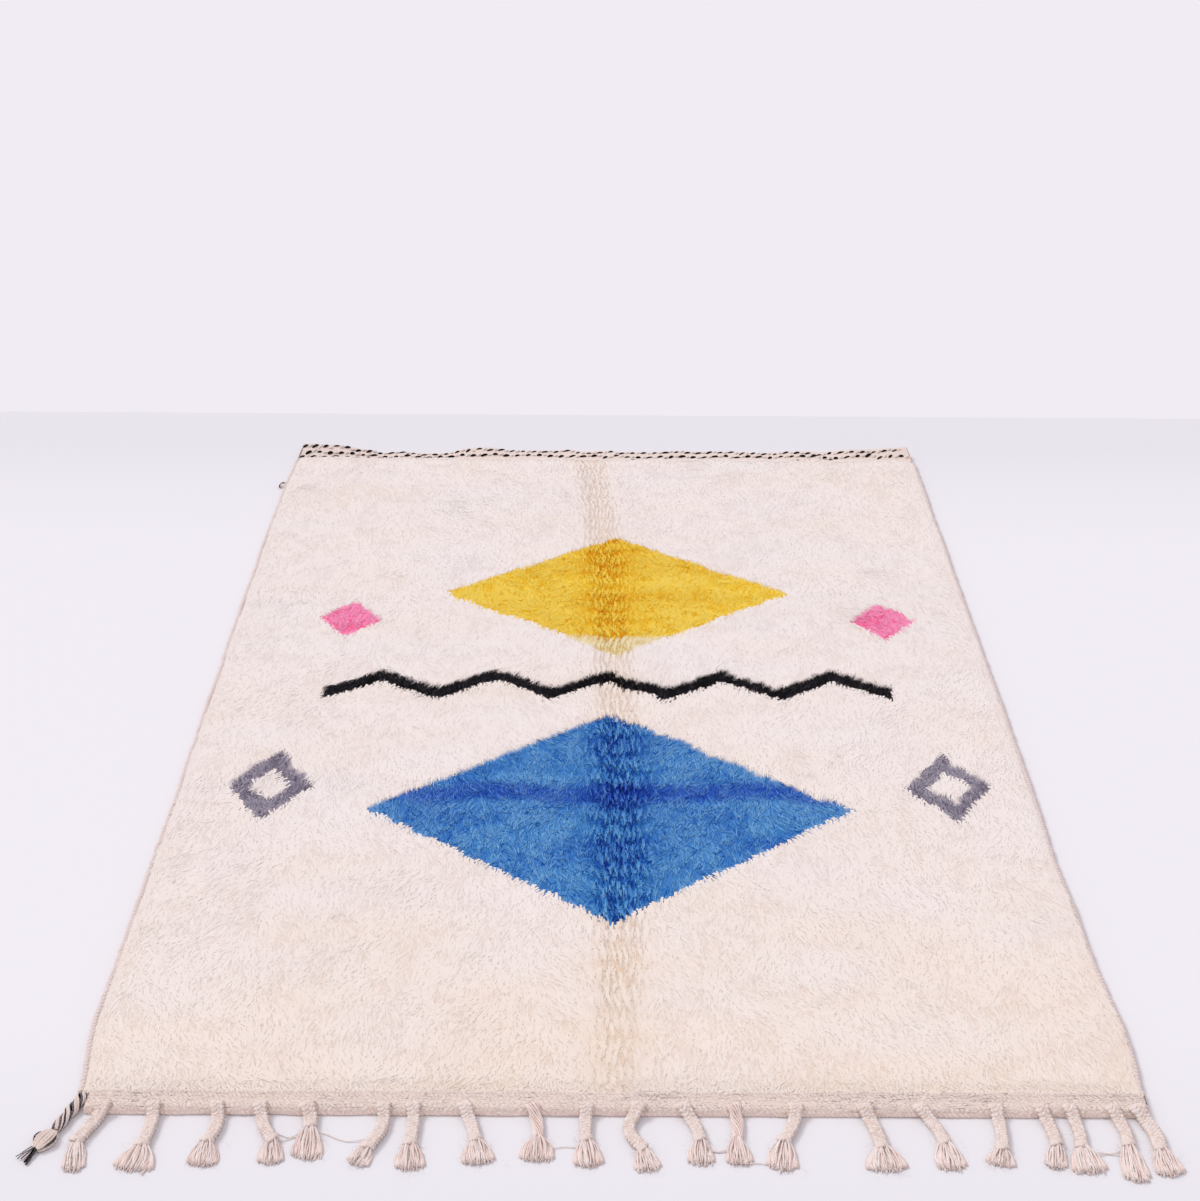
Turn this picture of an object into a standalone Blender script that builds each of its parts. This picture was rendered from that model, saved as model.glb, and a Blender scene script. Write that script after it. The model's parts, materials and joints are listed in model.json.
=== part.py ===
"""A hand-knotted shaggy wool rug lying flat: pile, two woven headings, selvedges and a braided fringe.

Metres, +Z up. X runs across the rug and Y along it, from the fringe to the plain far end.
The rug lies on the floor at z = 0, and its origin is the middle of its footprint.
"""
import math

import bmesh
import bpy
from mathutils import Vector, noise

# Driving dimensions of the knotted field
HALF_WIDTH = 0.817          # from the centre line to the pile's side, at the two ends
HALF_LENGTH = 1.2045        # from the middle to the pile's first and last row of knots
BOW_LEFT = 0.014            # how far the left side bows out between its ends
FLARE_RIGHT = 0.010         # a small bulge low on the right side
FLARE_RIGHT_Y = -1.06
FLARE_RIGHT_LENGTH = 0.10
SIDE_WAVE = 0.0022          # unevenness of the hand-woven sides
PILE_HEIGHT = 0.016         # matted pile, from the floor to its mean top
PILE_LUMP = 0.0045          # how far the lumps rise and sink
LUMP_SIZE = 0.11            # from one small lump to the next
SWELL_SIZE = 0.30           # and from one broad one to the next
BACKING = 0.0090            # height of the side wall that the selvedge lies against
SHOULDER = 0.006            # how far the pile's top edge is rounded in
SHOULDER_DROP = 0.0015
CREASE_DEPTH = 0.0045       # the lengthwise fold line down the middle
CREASE_HALF_WIDTH = 0.030
CREASE_X = 0.018            # where that line lies furthest right
CREASE_Y = -0.35
CREASE_BEND = 0.020         # how far it bends back to the left a metre from there
CROSS_CREASE_DEPTH = 0.0016 # faint creases across the rug, a little askew
CROSS_CREASE_HALF_WIDTH = 0.035
CROSS_CREASE_SLANT = 0.04
CROSS_CREASES = (-0.33, 0.42)
FIELD_COLUMNS = 32
FIELD_ROWS = 46

# Locks of wool that stand out at the rim: how far, and one for every so many faces of the wall
LOCK_NEAR = 0.014
LOCK_FAR = 0.006
LOCK_SIDE = 0.007
LOCK_TIP = 0.0035
LOCK_SPACING_NEAR = 2
LOCK_SPACING_ELSEWHERE = 3

# Near heading: a narrow weft-faced strip, rolled at its outer edge, that carries the braids
GAP = 0.0004                # between neighbouring pieces
NEAR_LEFT = -0.806
NEAR_RIGHT = 0.8235
NEAR_DEPTH = 0.036
NEAR_LIFT = 0.0022          # how far the strip waves off the floor
NEAR_SWAY = 0.0016          # and to and fro
NEAR_SECTION = (            # y from the pile outwards, z
    (0.000, 0.0005), (0.000, 0.0052), (-0.016, 0.0056),
    (-0.025, 0.0100), (-0.035, 0.0096), (-0.036, 0.0012))

# Braids: root x, sideways bend, knot x and y, brush end x and y, half the brush's width
BRAIDS = (
    (-0.783, 0.002, -0.808, -1.305, -0.799, -1.372, 0.015),
    (-0.705, 0.003, -0.708, -1.312, -0.713, -1.371, 0.021),
    (-0.607, 0.006, -0.612, -1.304, -0.614, -1.359, 0.020),
    (-0.541, -0.004, -0.515, -1.301, -0.511, -1.354, 0.017),
    (-0.468, 0.002, -0.462, -1.282, -0.459, -1.348, 0.021),
    (-0.352, 0.008, -0.370, -1.316, -0.386, -1.354, 0.016),
    (-0.307, 0.002, -0.307, -1.308, -0.302, -1.365, 0.020),
    (-0.227, 0.002, -0.209, -1.299, -0.200, -1.353, 0.022),
    (-0.123, 0.003, -0.115, -1.294, -0.116, -1.346, 0.023),
    (-0.042, -0.001, -0.042, -1.298, -0.036, -1.358, 0.020),
    (0.036, -0.016, 0.043, -1.316, 0.053, -1.364, 0.018),
    (0.110, 0.004, 0.130, -1.297, 0.130, -1.352, 0.018),
    (0.186, 0.003, 0.186, -1.297, 0.188, -1.353, 0.018),
    (0.280, 0.004, 0.257, -1.299, 0.248, -1.364, 0.021),
    (0.387, 0.003, 0.403, -1.310, 0.407, -1.364, 0.028),
    (0.475, 0.004, 0.499, -1.301, 0.505, -1.361, 0.020),
    (0.588, 0.003, 0.584, -1.314, 0.574, -1.350, 0.020),
    (0.659, 0.003, 0.667, -1.304, 0.656, -1.357, 0.015),
    (0.703, 0.004, 0.704, -1.308, 0.709, -1.367, 0.024),
    (0.769, 0.005, 0.776, -1.304, 0.774, -1.386, 0.018),
    (0.808, 0.006, 0.822, -1.312, 0.829, -1.372, 0.020))
BRAID_HALF_WIDTH = 0.0098
BRAID_HALF_HEIGHT = 0.0055
BRAID_RINGS = 8
BRAID_PULSE = 0.14          # how much the plait's strands swell the braid's sides
KNOT_SWELL = 1.30
KNOT_LENGTH = 0.013
WAIST = 0.85                # the knot's end, as a share of the braid's width
BRUSH_FAN = (-1.0, -0.60, -0.20, 0.20, 0.60, 1.0)    # where the six locks of a brush end
BRUSH_LOW = 0.0026          # height of the locks that lie on the floor
BRUSH_HIGH = 0.0078         # height of those that lie on the others
YARN_FILL = 0.40            # a lock's half width, as a share of the room that it has
HEXAGON = ((-1.0, -0.55), (0.0, -1.0), (1.0, -0.55), (1.0, 0.55), (0.0, 1.0), (-1.0, 0.55))
SQUARE = ((-1.0, -1.0), (1.0, -1.0), (1.0, 1.0), (-1.0, 1.0))

# Far heading: a thin twined strip whose free edge lifts at both corners
FAR_DEPTH = 0.068
FAR_THICKNESS = 0.004
FAR_STATIONS = 62
FAR_COLUMNS = 4
FAR_ROOT_HEIGHT = 0.0008
FAR_EDGE = (                # x, height of the underside at the free edge, edge's shift in y
    (-0.826, 0.0190, 0.004), (-0.720, 0.0170, 0.000), (-0.635, 0.0100, -0.004),
    (-0.600, 0.0012, -0.002), (-0.450, 0.0006, 0.000), (-0.345, 0.0110, 0.003),
    (-0.240, 0.0020, 0.000), (-0.100, 0.0040, 0.002), (0.050, 0.0010, -0.002),
    (0.250, 0.0030, 0.001), (0.430, 0.0008, 0.000), (0.560, 0.0040, 0.002),
    (0.680, 0.0110, 0.003), (0.822, 0.0200, 0.004))

# Selvedges: each side cord is overcast with yarn
SELVEDGE_RADIUS = 0.0042
SELVEDGE_SIDES = 6

# Corner tassel: a two-ply twisted cord, its loosened bulge and its tip
CORNER_PATH = (             # x, y, half width, half height
    (-0.8215, -1.2130, 0.0062, 0.0050), (-0.8255, -1.2260, 0.0080, 0.0062),
    (-0.8335, -1.2500, 0.0086, 0.0066), (-0.8430, -1.2760, 0.0080, 0.0062),
    (-0.8500, -1.2950, 0.0088, 0.0066), (-0.8580, -1.3130, 0.0150, 0.0086),
    (-0.8680, -1.3290, 0.0130, 0.0076), (-0.8770, -1.3420, 0.0060, 0.0050))
CORNER_TURN = math.radians(34)  # how far the twist turns from one section to the next
CORNER_PLY = 0.22           # how far its two plies stand out
CORNER_STEPS = 21
CORNER_TIP = (-0.890, -1.360, 0.012)    # end of the brush x, y and half its width


def clear_scene():
    for item in list(bpy.data.objects):
        bpy.data.objects.remove(item)


def wool(name, colour, roughness=0.95):
    material = bpy.data.materials.new(name)
    material.use_nodes = True
    shader = material.node_tree.nodes["Principled BSDF"]
    shader.inputs["Base Color"].default_value = (*colour, 1.0)
    shader.inputs["Roughness"].default_value = roughness
    shader.inputs["Metallic"].default_value = 0.0
    return material


def add_object(name, mesh_maker, material):
    mesh = bpy.data.meshes.new(name)
    bm = bmesh.new()
    mesh_maker(bm)
    bmesh.ops.recalc_face_normals(bm, faces=bm.faces)
    bm.to_mesh(mesh)
    bm.free()
    item = bpy.data.objects.new(name, mesh)
    item.data.materials.append(material)
    bpy.context.scene.collection.objects.link(item)
    return item


def smooth_noise(x, y, size, seed):
    return noise.noise(Vector((x / size, y / size, seed)))


def edge_x(side, y):
    """Where the pile's side runs: side is -1 on the left and 1 on the right."""
    wave = SIDE_WAVE * smooth_noise(0.0, y, 0.16, 7.0 + side)
    if side < 0:
        bow = BOW_LEFT * (1.0 - (y / HALF_LENGTH) ** 4)
    else:
        bow = FLARE_RIGHT * math.exp(-((y - FLARE_RIGHT_Y) / FLARE_RIGHT_LENGTH) ** 2)
    return side * (HALF_WIDTH + bow + wave)


def crease_x(y):
    return CREASE_X - CREASE_BEND * (y - CREASE_Y) ** 2


def pile_top(x, y):
    """Height of the matted pile: two sizes of lump, the middle fold and the creases across."""
    height = PILE_HEIGHT
    height += PILE_LUMP * smooth_noise(x, y, LUMP_SIZE, 1.0)
    height += 0.5 * PILE_LUMP * smooth_noise(x, y, SWELL_SIZE, 4.0)
    height -= CREASE_DEPTH * math.exp(-((x - crease_x(y)) / CREASE_HALF_WIDTH) ** 2)
    for row in CROSS_CREASES:
        aside = (y - row - CROSS_CREASE_SLANT * x) / CROSS_CREASE_HALF_WIDTH
        height -= CROSS_CREASE_DEPTH * math.exp(-aside ** 2)
    return height


def grow(bm, face, centre, right, up, outline, half_width, half_height):
    """Pull a face out to a new outline, which is placed at a centre, and return the new face."""
    moved = bmesh.ops.extrude_discrete_faces(bm, faces=[face])["faces"][0]
    middle = moved.calc_center_median()
    corners = [(vert, (vert.co - middle).dot(right), (vert.co - middle).dot(up)) for vert in moved.verts]
    corners.sort(key=lambda item: math.atan2(item[2], item[1]))
    places = sorted(outline, key=lambda item: math.atan2(item[1], item[0]))
    size = max(max(abs(a), abs(b)) for _, a, b in corners)

    def misfit(shift):
        total = 0.0
        for index, (_, a, b) in enumerate(corners):
            place = places[(index + shift) % len(places)]
            total += (a / size - place[0]) ** 2 + (b / size - place[1]) ** 2
        return total

    best = min(range(len(places)), key=misfit)
    for index, (vert, _, _) in enumerate(corners):
        a, b = places[(index + best) % len(places)]
        vert.co = centre + right * (a * half_width) + up * (b * half_height)
    return moved


def frame_along(direction):
    """Right and up vectors square to a direction, with right kept level."""
    right = direction.cross(Vector((0.0, 0.0, 1.0))).normalized()
    return right, right.cross(direction).normalized()


def grow_lock(bm, face, tip, half_width):
    """A lock of yarn from a face to its tip, with one bend on the way."""
    start = face.calc_center_median()
    right, up = frame_along((tip - start).normalized())
    half_height = 0.75 * half_width
    middle = start.lerp(tip, 0.5)
    middle.z = max(start.lerp(tip, 0.7).z, half_height + 0.0005)
    face = grow(bm, face, middle, right, up, SQUARE, half_width, half_height)
    grow(bm, face, tip, right, up, SQUARE, 0.7 * half_width, 0.7 * half_height)


def grow_brush(bm, cap, sides, knot, tip, spread):
    """Six locks of yarn that fan out from a knot's end and from four of its sides."""
    reach = tip - knot
    right, _ = frame_along(reach.normalized())
    split = bmesh.ops.connect_verts(bm, verts=middle_verts(cap, right))["edges"]
    front = [face for edge in split for face in edge.link_faces]
    roots = sorted(front + sides, key=lambda face: (face.calc_center_median() - knot).dot(right))
    room = 0.5 * (2.0 * BRAID_HALF_WIDTH / len(roots) + spread * (BRUSH_FAN[1] - BRUSH_FAN[0]))
    for face, place in zip(roots, BRUSH_FAN):
        on_floor = face in front or abs(place) > 0.9
        end = knot + reach * (1.0 - 0.10 * abs(place)) + right * (place * spread)
        end.z = BRUSH_LOW if on_floor else BRUSH_HIGH
        grow_lock(bm, face, end, YARN_FILL * room)


def middle_verts(cap, right):
    """The top and bottom vertices of a six-sided cap."""
    centre = cap.calc_center_median()
    return sorted(cap.verts, key=lambda vert: abs((vert.co - centre).dot(right)))[:2]


def grow_braid(bm, root, row):
    """One braid from the strip's front face: plait, knot and brush."""
    _, bend, knot_x, knot_y, tip_x, tip_y, spread = row
    start = root.calc_center_median()
    knot = Vector((knot_x, knot_y, BRAID_HALF_HEIGHT * KNOT_SWELL + 0.0002))
    face = root
    for ring in range(1, BRAID_RINGS + 1):
        part = ring / BRAID_RINGS
        centre = start.lerp(knot, part)
        centre.x += bend * math.sin(math.pi * part)
        centre.z = BRAID_HALF_HEIGHT + 0.0006 + 0.0008 * math.sin(math.pi * part)
        ahead = (knot - start).normalized()
        ahead.x += bend * math.pi * math.cos(math.pi * part) / (knot - start).length
        ahead.z = 0.0
        right, up = frame_along(ahead.normalized())
        pulse = BRAID_PULSE * (1.0 if ring % 2 else -1.0)
        centre += right * (0.5 * pulse * BRAID_HALF_WIDTH)
        face = grow(bm, face, centre, right, up, HEXAGON,
                    BRAID_HALF_WIDTH * (1.0 + 0.5 * abs(pulse)), BRAID_HALF_HEIGHT)
    ahead = Vector((tip_x, tip_y, 0.0)) - Vector((knot_x, knot_y, 0.0))
    right, up = frame_along((ahead.normalized() + Vector((0.0, -0.6, 0.0))).normalized())
    forward = up.cross(right).normalized()
    swollen = knot + forward * (0.5 * KNOT_LENGTH)
    face = grow(bm, face, swollen, right, up, HEXAGON,
                BRAID_HALF_WIDTH * KNOT_SWELL, BRAID_HALF_HEIGHT * KNOT_SWELL)
    waist = knot + forward * KNOT_LENGTH
    before = set(bm.faces)
    face = grow(bm, face, waist, right, up, HEXAGON, BRAID_HALF_WIDTH * WAIST, BRAID_HALF_HEIGHT)
    around = [item for item in bm.faces if item not in before and item is not face]
    grow_brush(bm, face, upper_sides(around), waist, Vector((tip_x, tip_y, BRUSH_LOW)), spread)


def upper_sides(around):
    """The four faces round a knot's waist that aren't on its underside."""
    return sorted(around, key=lambda face: -face.calc_center_median().z)[:4]


def pile_field(bm):
    """The knotted field: a lumpy slab with a rounded top edge, a flat underside and rim locks."""
    bmesh.ops.create_grid(bm, x_segments=FIELD_COLUMNS, y_segments=FIELD_ROWS, size=0.5)
    coarse = [edge for edge in bm.edges if edge.is_boundary]
    bmesh.ops.subdivide_edges(bm, edges=coarse, cuts=1)
    rim = [edge for edge in bm.edges if edge.is_boundary]
    for vert in bm.verts:
        across, y = vert.co.x * 2.0, vert.co.y * 2.0 * HALF_LENGTH
        left, right = edge_x(-1, y), edge_x(1, y)
        x = left + (right - left) * (across + 1.0) / 2.0
        vert.co = (x, y, pile_top(x, y))
    walls = wall_ring(bm, rim, BACKING)
    for vert in {vert for edge in rim for vert in edge.verts}:
        inward(vert, SHOULDER)
        vert.co.z -= SHOULDER_DROP
    lower = [edge for edge in bm.edges if edge.is_boundary]
    wall_ring(bm, lower, 0.0)
    under = [edge for edge in bm.edges if edge.is_boundary]
    bmesh.ops.contextual_create(bm, geom=under)
    rim_locks(bm, walls)


def wall_ring(bm, edges, height):
    """Extrude a loop of edges down to a height, and return the new wall's faces."""
    grown = bmesh.ops.extrude_edge_only(bm, edges=edges)["geom"]
    for vert in [item for item in grown if isinstance(item, bmesh.types.BMVert)]:
        vert.co.z = height
    return [item for item in grown if isinstance(item, bmesh.types.BMFace)]


def inward(vert, amount):
    """Move a rim vertex towards the middle of the rug, square to the sides that it is on."""
    if abs(vert.co.x) > HALF_WIDTH - 0.02:
        vert.co.x -= math.copysign(amount, vert.co.x)
    if abs(vert.co.y) > HALF_LENGTH - 0.001:
        vert.co.y -= math.copysign(amount, vert.co.y)


def rim_locks(bm, walls):
    """Pull faces of the upper wall out into drooping locks, at an even spacing round the rim."""
    sides = {"near": [], "far": [], "left": [], "right": []}
    for face in walls:
        centre = face.calc_center_median()
        if abs(centre.y) > HALF_LENGTH - 0.008:
            sides["near" if centre.y < 0.0 else "far"].append((centre.x, face))
        else:
            sides["left" if centre.x < 0.0 else "right"].append((centre.y, face))
    reach = {"near": LOCK_NEAR, "far": LOCK_FAR, "left": LOCK_SIDE, "right": LOCK_SIDE}
    outward = {"near": (0.0, -1.0), "far": (0.0, 1.0), "left": (-1.0, -0.6), "right": (1.0, -0.6)}
    for side, faces in sides.items():
        spacing = LOCK_SPACING_NEAR if side == "near" else LOCK_SPACING_ELSEWHERE
        faces.sort(key=lambda item: item[0])
        for _, face in faces[1:-1:spacing]:
            centre = face.calc_center_median()
            length = reach[side] * (1.0 + 0.5 * smooth_noise(centre.x, centre.y, 0.05, 9.0))
            direction = Vector((*outward[side], 0.0))
            tip = centre + direction * length
            tip.z = BACKING + LOCK_TIP * 0.5
            right, up = frame_along(direction.normalized())
            grow(bm, face, tip, right, up, SQUARE, LOCK_TIP, 0.4 * LOCK_TIP)


def strip_stations():
    """X of every section of the near strip: three on each braid and one between neighbours."""
    roots = [row[0] for row in BRAIDS]
    stations = [NEAR_LEFT, NEAR_RIGHT]
    for x in roots:
        stations += [x - BRAID_HALF_WIDTH, x, x + BRAID_HALF_WIDTH]
    for left, right in zip(roots, roots[1:]):
        if right - left > 0.05:
            stations.append((left + right) / 2.0)
    return sorted(stations)


def near_heading(bm):
    """The near strip with its rolled edge, and the braids that grow from its front."""
    front = HALF_LENGTH + GAP
    rings = []
    for x in strip_stations():
        lift = NEAR_LIFT * max(0.0, smooth_noise(x, 0.0, 0.13, 2.0))
        sway = NEAR_SWAY * smooth_noise(x, 0.0, 0.09, 5.0)
        ring = []
        for y, z in NEAR_SECTION:
            share = -y / NEAR_DEPTH
            ring.append(bm.verts.new((x, -front + y + sway * share, z + lift * share)))
        rings.append(ring)
    skin_rings(bm, rings)
    bm.normal_update()
    for row in BRAIDS:
        grow_braid(bm, braid_root(bm, row[0]), row)


def skin_rings(bm, rings):
    """Join a row of equal rings by faces, and close the two ends."""
    count = len(rings[0])
    for ring, after in zip(rings, rings[1:]):
        for index in range(count):
            step = (index + 1) % count
            bm.faces.new((ring[index], ring[step], after[step], after[index]))
    bm.faces.new(reversed(rings[0]))
    bm.faces.new(rings[-1])


def braid_root(bm, x):
    """The strip's two front faces at a braid, joined into one six-sided face."""
    front = -(HALF_LENGTH + GAP + 0.9 * NEAR_DEPTH)
    pair = [face for face in bm.faces
            if abs(face.calc_center_median().x - x) < 0.6 * BRAID_HALF_WIDTH
            and all(front > vert.co.y > front - 0.2 * NEAR_DEPTH for vert in face.verts)]
    return bmesh.utils.face_join(pair)


def edge_profile(x, column):
    """A value of the far edge's table at x, eased between its rows."""
    for before, after in zip(FAR_EDGE, FAR_EDGE[1:]):
        if x <= after[0]:
            part = min(1.0, max(0.0, (x - before[0]) / (after[0] - before[0])))
            part = part * part * (3.0 - 2.0 * part)
            return before[column] + (after[column] - before[column]) * part
    return FAR_EDGE[-1][column]


def far_heading(bm):
    """The far strip: flat at the pile, lifting and waving towards its free edge."""
    left, right = edge_x(-1, HALF_LENGTH) - 0.006, edge_x(1, HALF_LENGTH) + 0.004
    rings = []
    for station in range(FAR_STATIONS + 1):
        x = left + (right - left) * station / FAR_STATIONS
        top, under = [], []
        for column in range(FAR_COLUMNS + 1):
            share = column / FAR_COLUMNS
            y = HALF_LENGTH + GAP + share * (FAR_DEPTH + edge_profile(x, 2))
            z = FAR_ROOT_HEIGHT * (1.0 - share) + edge_profile(x, 1) * share ** 1.6
            top.append(bm.verts.new((x, y, z + FAR_THICKNESS)))
            under.append(bm.verts.new((x, y, z)))
        rings.append(top + under[::-1])
    skin_rings(bm, rings)


def selvedge(side):
    """A maker for one overcast side cord, which follows the pile's side."""
    def make(bm):
        rings = []
        for row in range(FIELD_ROWS + 1):
            y = HALF_LENGTH * (2.0 * row / FIELD_ROWS - 1.0)
            x = edge_x(side, y) + side * (SELVEDGE_RADIUS + GAP)
            ring = []
            for corner in range(SELVEDGE_SIDES):
                angle = 2.0 * math.pi * (corner + 0.5) / SELVEDGE_SIDES
                ring.append(bm.verts.new((x + SELVEDGE_RADIUS * math.cos(angle), y,
                                          SELVEDGE_RADIUS * (1.0 + math.sin(angle)))))
            rings.append(ring)
        skin_rings(bm, rings)
    return make


def path_at(part):
    """Centre, half width and half height of the corner tassel, eased between its table's rows."""
    place = part * (len(CORNER_PATH) - 1)
    index = min(int(place), len(CORNER_PATH) - 2)
    blend = place - index
    before, after = CORNER_PATH[index], CORNER_PATH[index + 1]
    return [a + (b - a) * blend for a, b in zip(before, after)]


def ply_outline(turn):
    """A six-sided section whose two plies point along a turned line."""
    angles = [math.radians(30 + 60 * corner) for corner in range(6)]
    sizes = [1.0 + CORNER_PLY * math.cos(2.0 * (angle - turn)) for angle in angles]
    return [(size * math.cos(angle), size * math.sin(angle)) for size, angle in zip(sizes, angles)]


def corner_tassel(bm):
    """The twisted corner cord, its bulge and a short brush."""
    rings = []
    for step in range(CORNER_STEPS + 1):
        part = step / CORNER_STEPS
        x, y, half_width, half_height = path_at(part)
        ahead, behind = path_at(min(1.0, part + 0.04)), path_at(max(0.0, part - 0.04))
        right, up = frame_along(Vector((ahead[0] - behind[0], ahead[1] - behind[1], 0.0)).normalized())
        centre = Vector((x, y, half_height * (1.0 + CORNER_PLY) + 0.0003))
        rings.append([bm.verts.new(centre + right * (a * half_width) + up * (b * half_height))
                      for a, b in ply_outline(CORNER_TURN * step)])
    skin_rings(bm, rings)
    cap = bm.faces.get(rings[-1])
    around = [face for face in bm.faces
              if face is not cap and any(vert in face.verts for vert in rings[-1])]
    tip = Vector((CORNER_TIP[0], CORNER_TIP[1], BRUSH_LOW))
    grow_brush(bm, cap, upper_sides(around), cap.calc_center_median(), tip, CORNER_TIP[2])


def middle_of(values):
    return (min(values) + max(values)) / 2.0


def centre_on_floor(items):
    """Move every mesh so that the middle of the footprint is the origin."""
    points = [vert.co for item in items for vert in item.data.vertices]
    middle = Vector((middle_of([point.x for point in points]), middle_of([point.y for point in points]), 0.0))
    for item in items:
        for vert in item.data.vertices:
            vert.co -= middle


def main():
    clear_scene()
    ivory = wool("ivory_wool_pile", (0.80, 0.74, 0.68))
    weave = wool("undyed_woven_wool", (0.72, 0.63, 0.57))
    twined = wool("black_and_ivory_twining", (0.62, 0.55, 0.50))
    cord = wool("overcast_wool_cord", (0.66, 0.58, 0.56))
    twist = wool("black_and_ivory_twist", (0.30, 0.27, 0.27))
    items = [
        add_object("pile_field", pile_field, ivory),
        add_object("near_heading_fringe", near_heading, weave),
        add_object("far_heading", far_heading, twined),
        add_object("selvedge_left", selvedge(-1), cord),
        add_object("selvedge_right", selvedge(1), cord),
        add_object("corner_tassel", corner_tassel, twist)]
    centre_on_floor(items)


main()
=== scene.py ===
# A hand-knotted wool shag rug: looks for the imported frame. Metres, +Z up.
import json
import math

import bmesh
import bpy
import numpy as np
from mathutils import Matrix, Vector, noise

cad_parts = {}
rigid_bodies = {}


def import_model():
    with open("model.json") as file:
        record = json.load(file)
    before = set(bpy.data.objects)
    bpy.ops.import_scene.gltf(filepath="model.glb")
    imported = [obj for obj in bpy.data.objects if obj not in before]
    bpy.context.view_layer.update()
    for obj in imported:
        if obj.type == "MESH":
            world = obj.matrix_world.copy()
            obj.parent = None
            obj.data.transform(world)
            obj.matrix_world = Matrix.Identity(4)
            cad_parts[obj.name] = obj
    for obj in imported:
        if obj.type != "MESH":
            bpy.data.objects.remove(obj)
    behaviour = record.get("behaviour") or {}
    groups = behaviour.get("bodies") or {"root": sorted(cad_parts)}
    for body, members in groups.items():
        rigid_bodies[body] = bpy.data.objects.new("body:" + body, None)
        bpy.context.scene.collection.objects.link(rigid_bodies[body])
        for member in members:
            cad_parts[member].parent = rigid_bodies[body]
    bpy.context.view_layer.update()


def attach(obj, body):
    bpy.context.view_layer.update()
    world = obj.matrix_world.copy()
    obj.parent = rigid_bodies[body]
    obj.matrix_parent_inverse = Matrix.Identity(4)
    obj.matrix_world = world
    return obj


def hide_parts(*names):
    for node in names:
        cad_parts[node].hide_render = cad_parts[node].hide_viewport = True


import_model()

# Pieces are made in the rug's own frame, with the middle of the pile at its origin.
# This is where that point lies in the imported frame.
pileCentre = (0.0248, 0.0540, 0.0)

rug = {
    "halfWidth": 0.817, "halfLength": 1.2045, "bowLeft": 0.014,
    # where a side swings out or in: y, by how much, over what length
    "swingsLeft": ((-1.05, 0.0090, 0.10), (-0.90, 0.0060, 0.28)),
    "swingsRight": ((-1.06, 0.0100, 0.10), (-0.60, -0.0050, 0.16)),
    "sideWave": 0.0022, "sideWaveLength": 0.16,
    "pileHeight": 0.016, "pileLump": 0.0036, "lumpSize": 0.11, "swellShare": 0.5, "swellSize": 0.30,
    "creaseX": 0.018, "creaseY": -0.35, "creaseBend": 0.025,
    "creaseDepth": 0.0045, "creaseHalfWidth": 0.030,
    "crossCreases": (-0.33, 0.42), "crossDepth": 0.0016, "crossHalfWidth": 0.035, "crossSlant": 0.04}
farEnd = rug["halfLength"]
upward = (0.0, 0.0, 1.0)


def linear(hexColour):
    # an sRGB hex colour as linear light, with an alpha of 1
    parts = [int(hexColour[i:i + 2], 16) / 255 for i in (1, 3, 5)]
    return (*(p / 12.92 if p <= 0.04045 else ((p + 0.055) / 1.055) ** 2.4 for p in parts), 1.0)


def ease(t):
    # from 0 to 1 with a soft start and end
    return t * t * (3 - 2 * t)


def ramp(value, start, length):
    # from 0 at the start to 1 at the end of a length
    return np.clip((value - start) / length, 0.0, 1.0)


def bell(apart, width, power=2):
    # 1 in the middle, and soon 0 past the width
    return np.exp(-(apart / width) ** power)


def unit(rows):
    return rows / np.maximum(np.linalg.norm(rows, axis=-1, keepdims=True), 1e-9)


def lengthAlong(path):
    # how far along a path each of its points lies
    return np.concatenate([[0.0], np.cumsum(np.linalg.norm(np.diff(path, axis=0), axis=1))])


def softNoise(x, y, size, seed):
    # value noise from -1 to 1 for whole arrays of places
    table = np.random.default_rng(seed).uniform(-1.0, 1.0, (64, 64))
    u, v = np.asarray(x) / size, np.asarray(y) / size
    i, j = np.floor(u).astype(int), np.floor(v).astype(int)
    a, b = ease(u - i), ease(v - j)
    near, far = (table[i % 64, row % 64] * (1 - a) + table[(i + 1) % 64, row % 64] * a for row in (j, j + 1))
    return near * (1 - b) + far * b


def layeredNoise(x, y, layers):
    # a sum of soft noises: how much, over what size, and the seed
    return sum(share * softNoise(x, y, size, seed) for share, size, seed in layers)


def waveNoise(x, y, size, seed):
    # gradient noise, smoother and for fewer places
    return np.array([noise.noise(Vector((a / size, b / size, seed))) for a, b in zip(x, y)])


def addPiece(name, mesh, material, node):
    # a finished mesh becomes a piece that stands for a node of the frame
    mesh.materials.append(material)
    mesh.transform(Matrix.Translation(pileCentre))
    piece = bpy.data.objects.new(name, mesh)
    bpy.context.scene.collection.objects.link(piece)
    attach(piece, "root")
    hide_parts(node)
    return piece


def meshFromArrays(name, points, faces):
    mesh = bpy.data.meshes.new(name)
    mesh.vertices.add(len(points))
    mesh.vertices.foreach_set("co", np.asarray(points, np.float32).ravel())
    mesh.loops.add(faces.size)
    mesh.loops.foreach_set("vertex_index", faces.astype(np.int32).ravel())
    mesh.polygons.add(len(faces))
    mesh.polygons.foreach_set("loop_start", np.arange(0, faces.size, faces.shape[1], dtype=np.int32))
    mesh.polygons.foreach_set("use_smooth", np.full(len(faces), True))
    mesh.update(calc_edges=True)
    return mesh


def setAttribute(mesh, name, values):
    # one value, three or four for each point: a number, a vector or a colour
    values = np.asarray(values, np.float32).ravel()
    kind, field = {1: ("FLOAT", "value"), 3: ("FLOAT_VECTOR", "vector"),
                   4: ("FLOAT_COLOR", "color")}[len(values) // len(mesh.vertices)]
    mesh.attributes.new(name, kind, "POINT")
    mesh.attributes[name].data.foreach_set(field, values)


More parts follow.
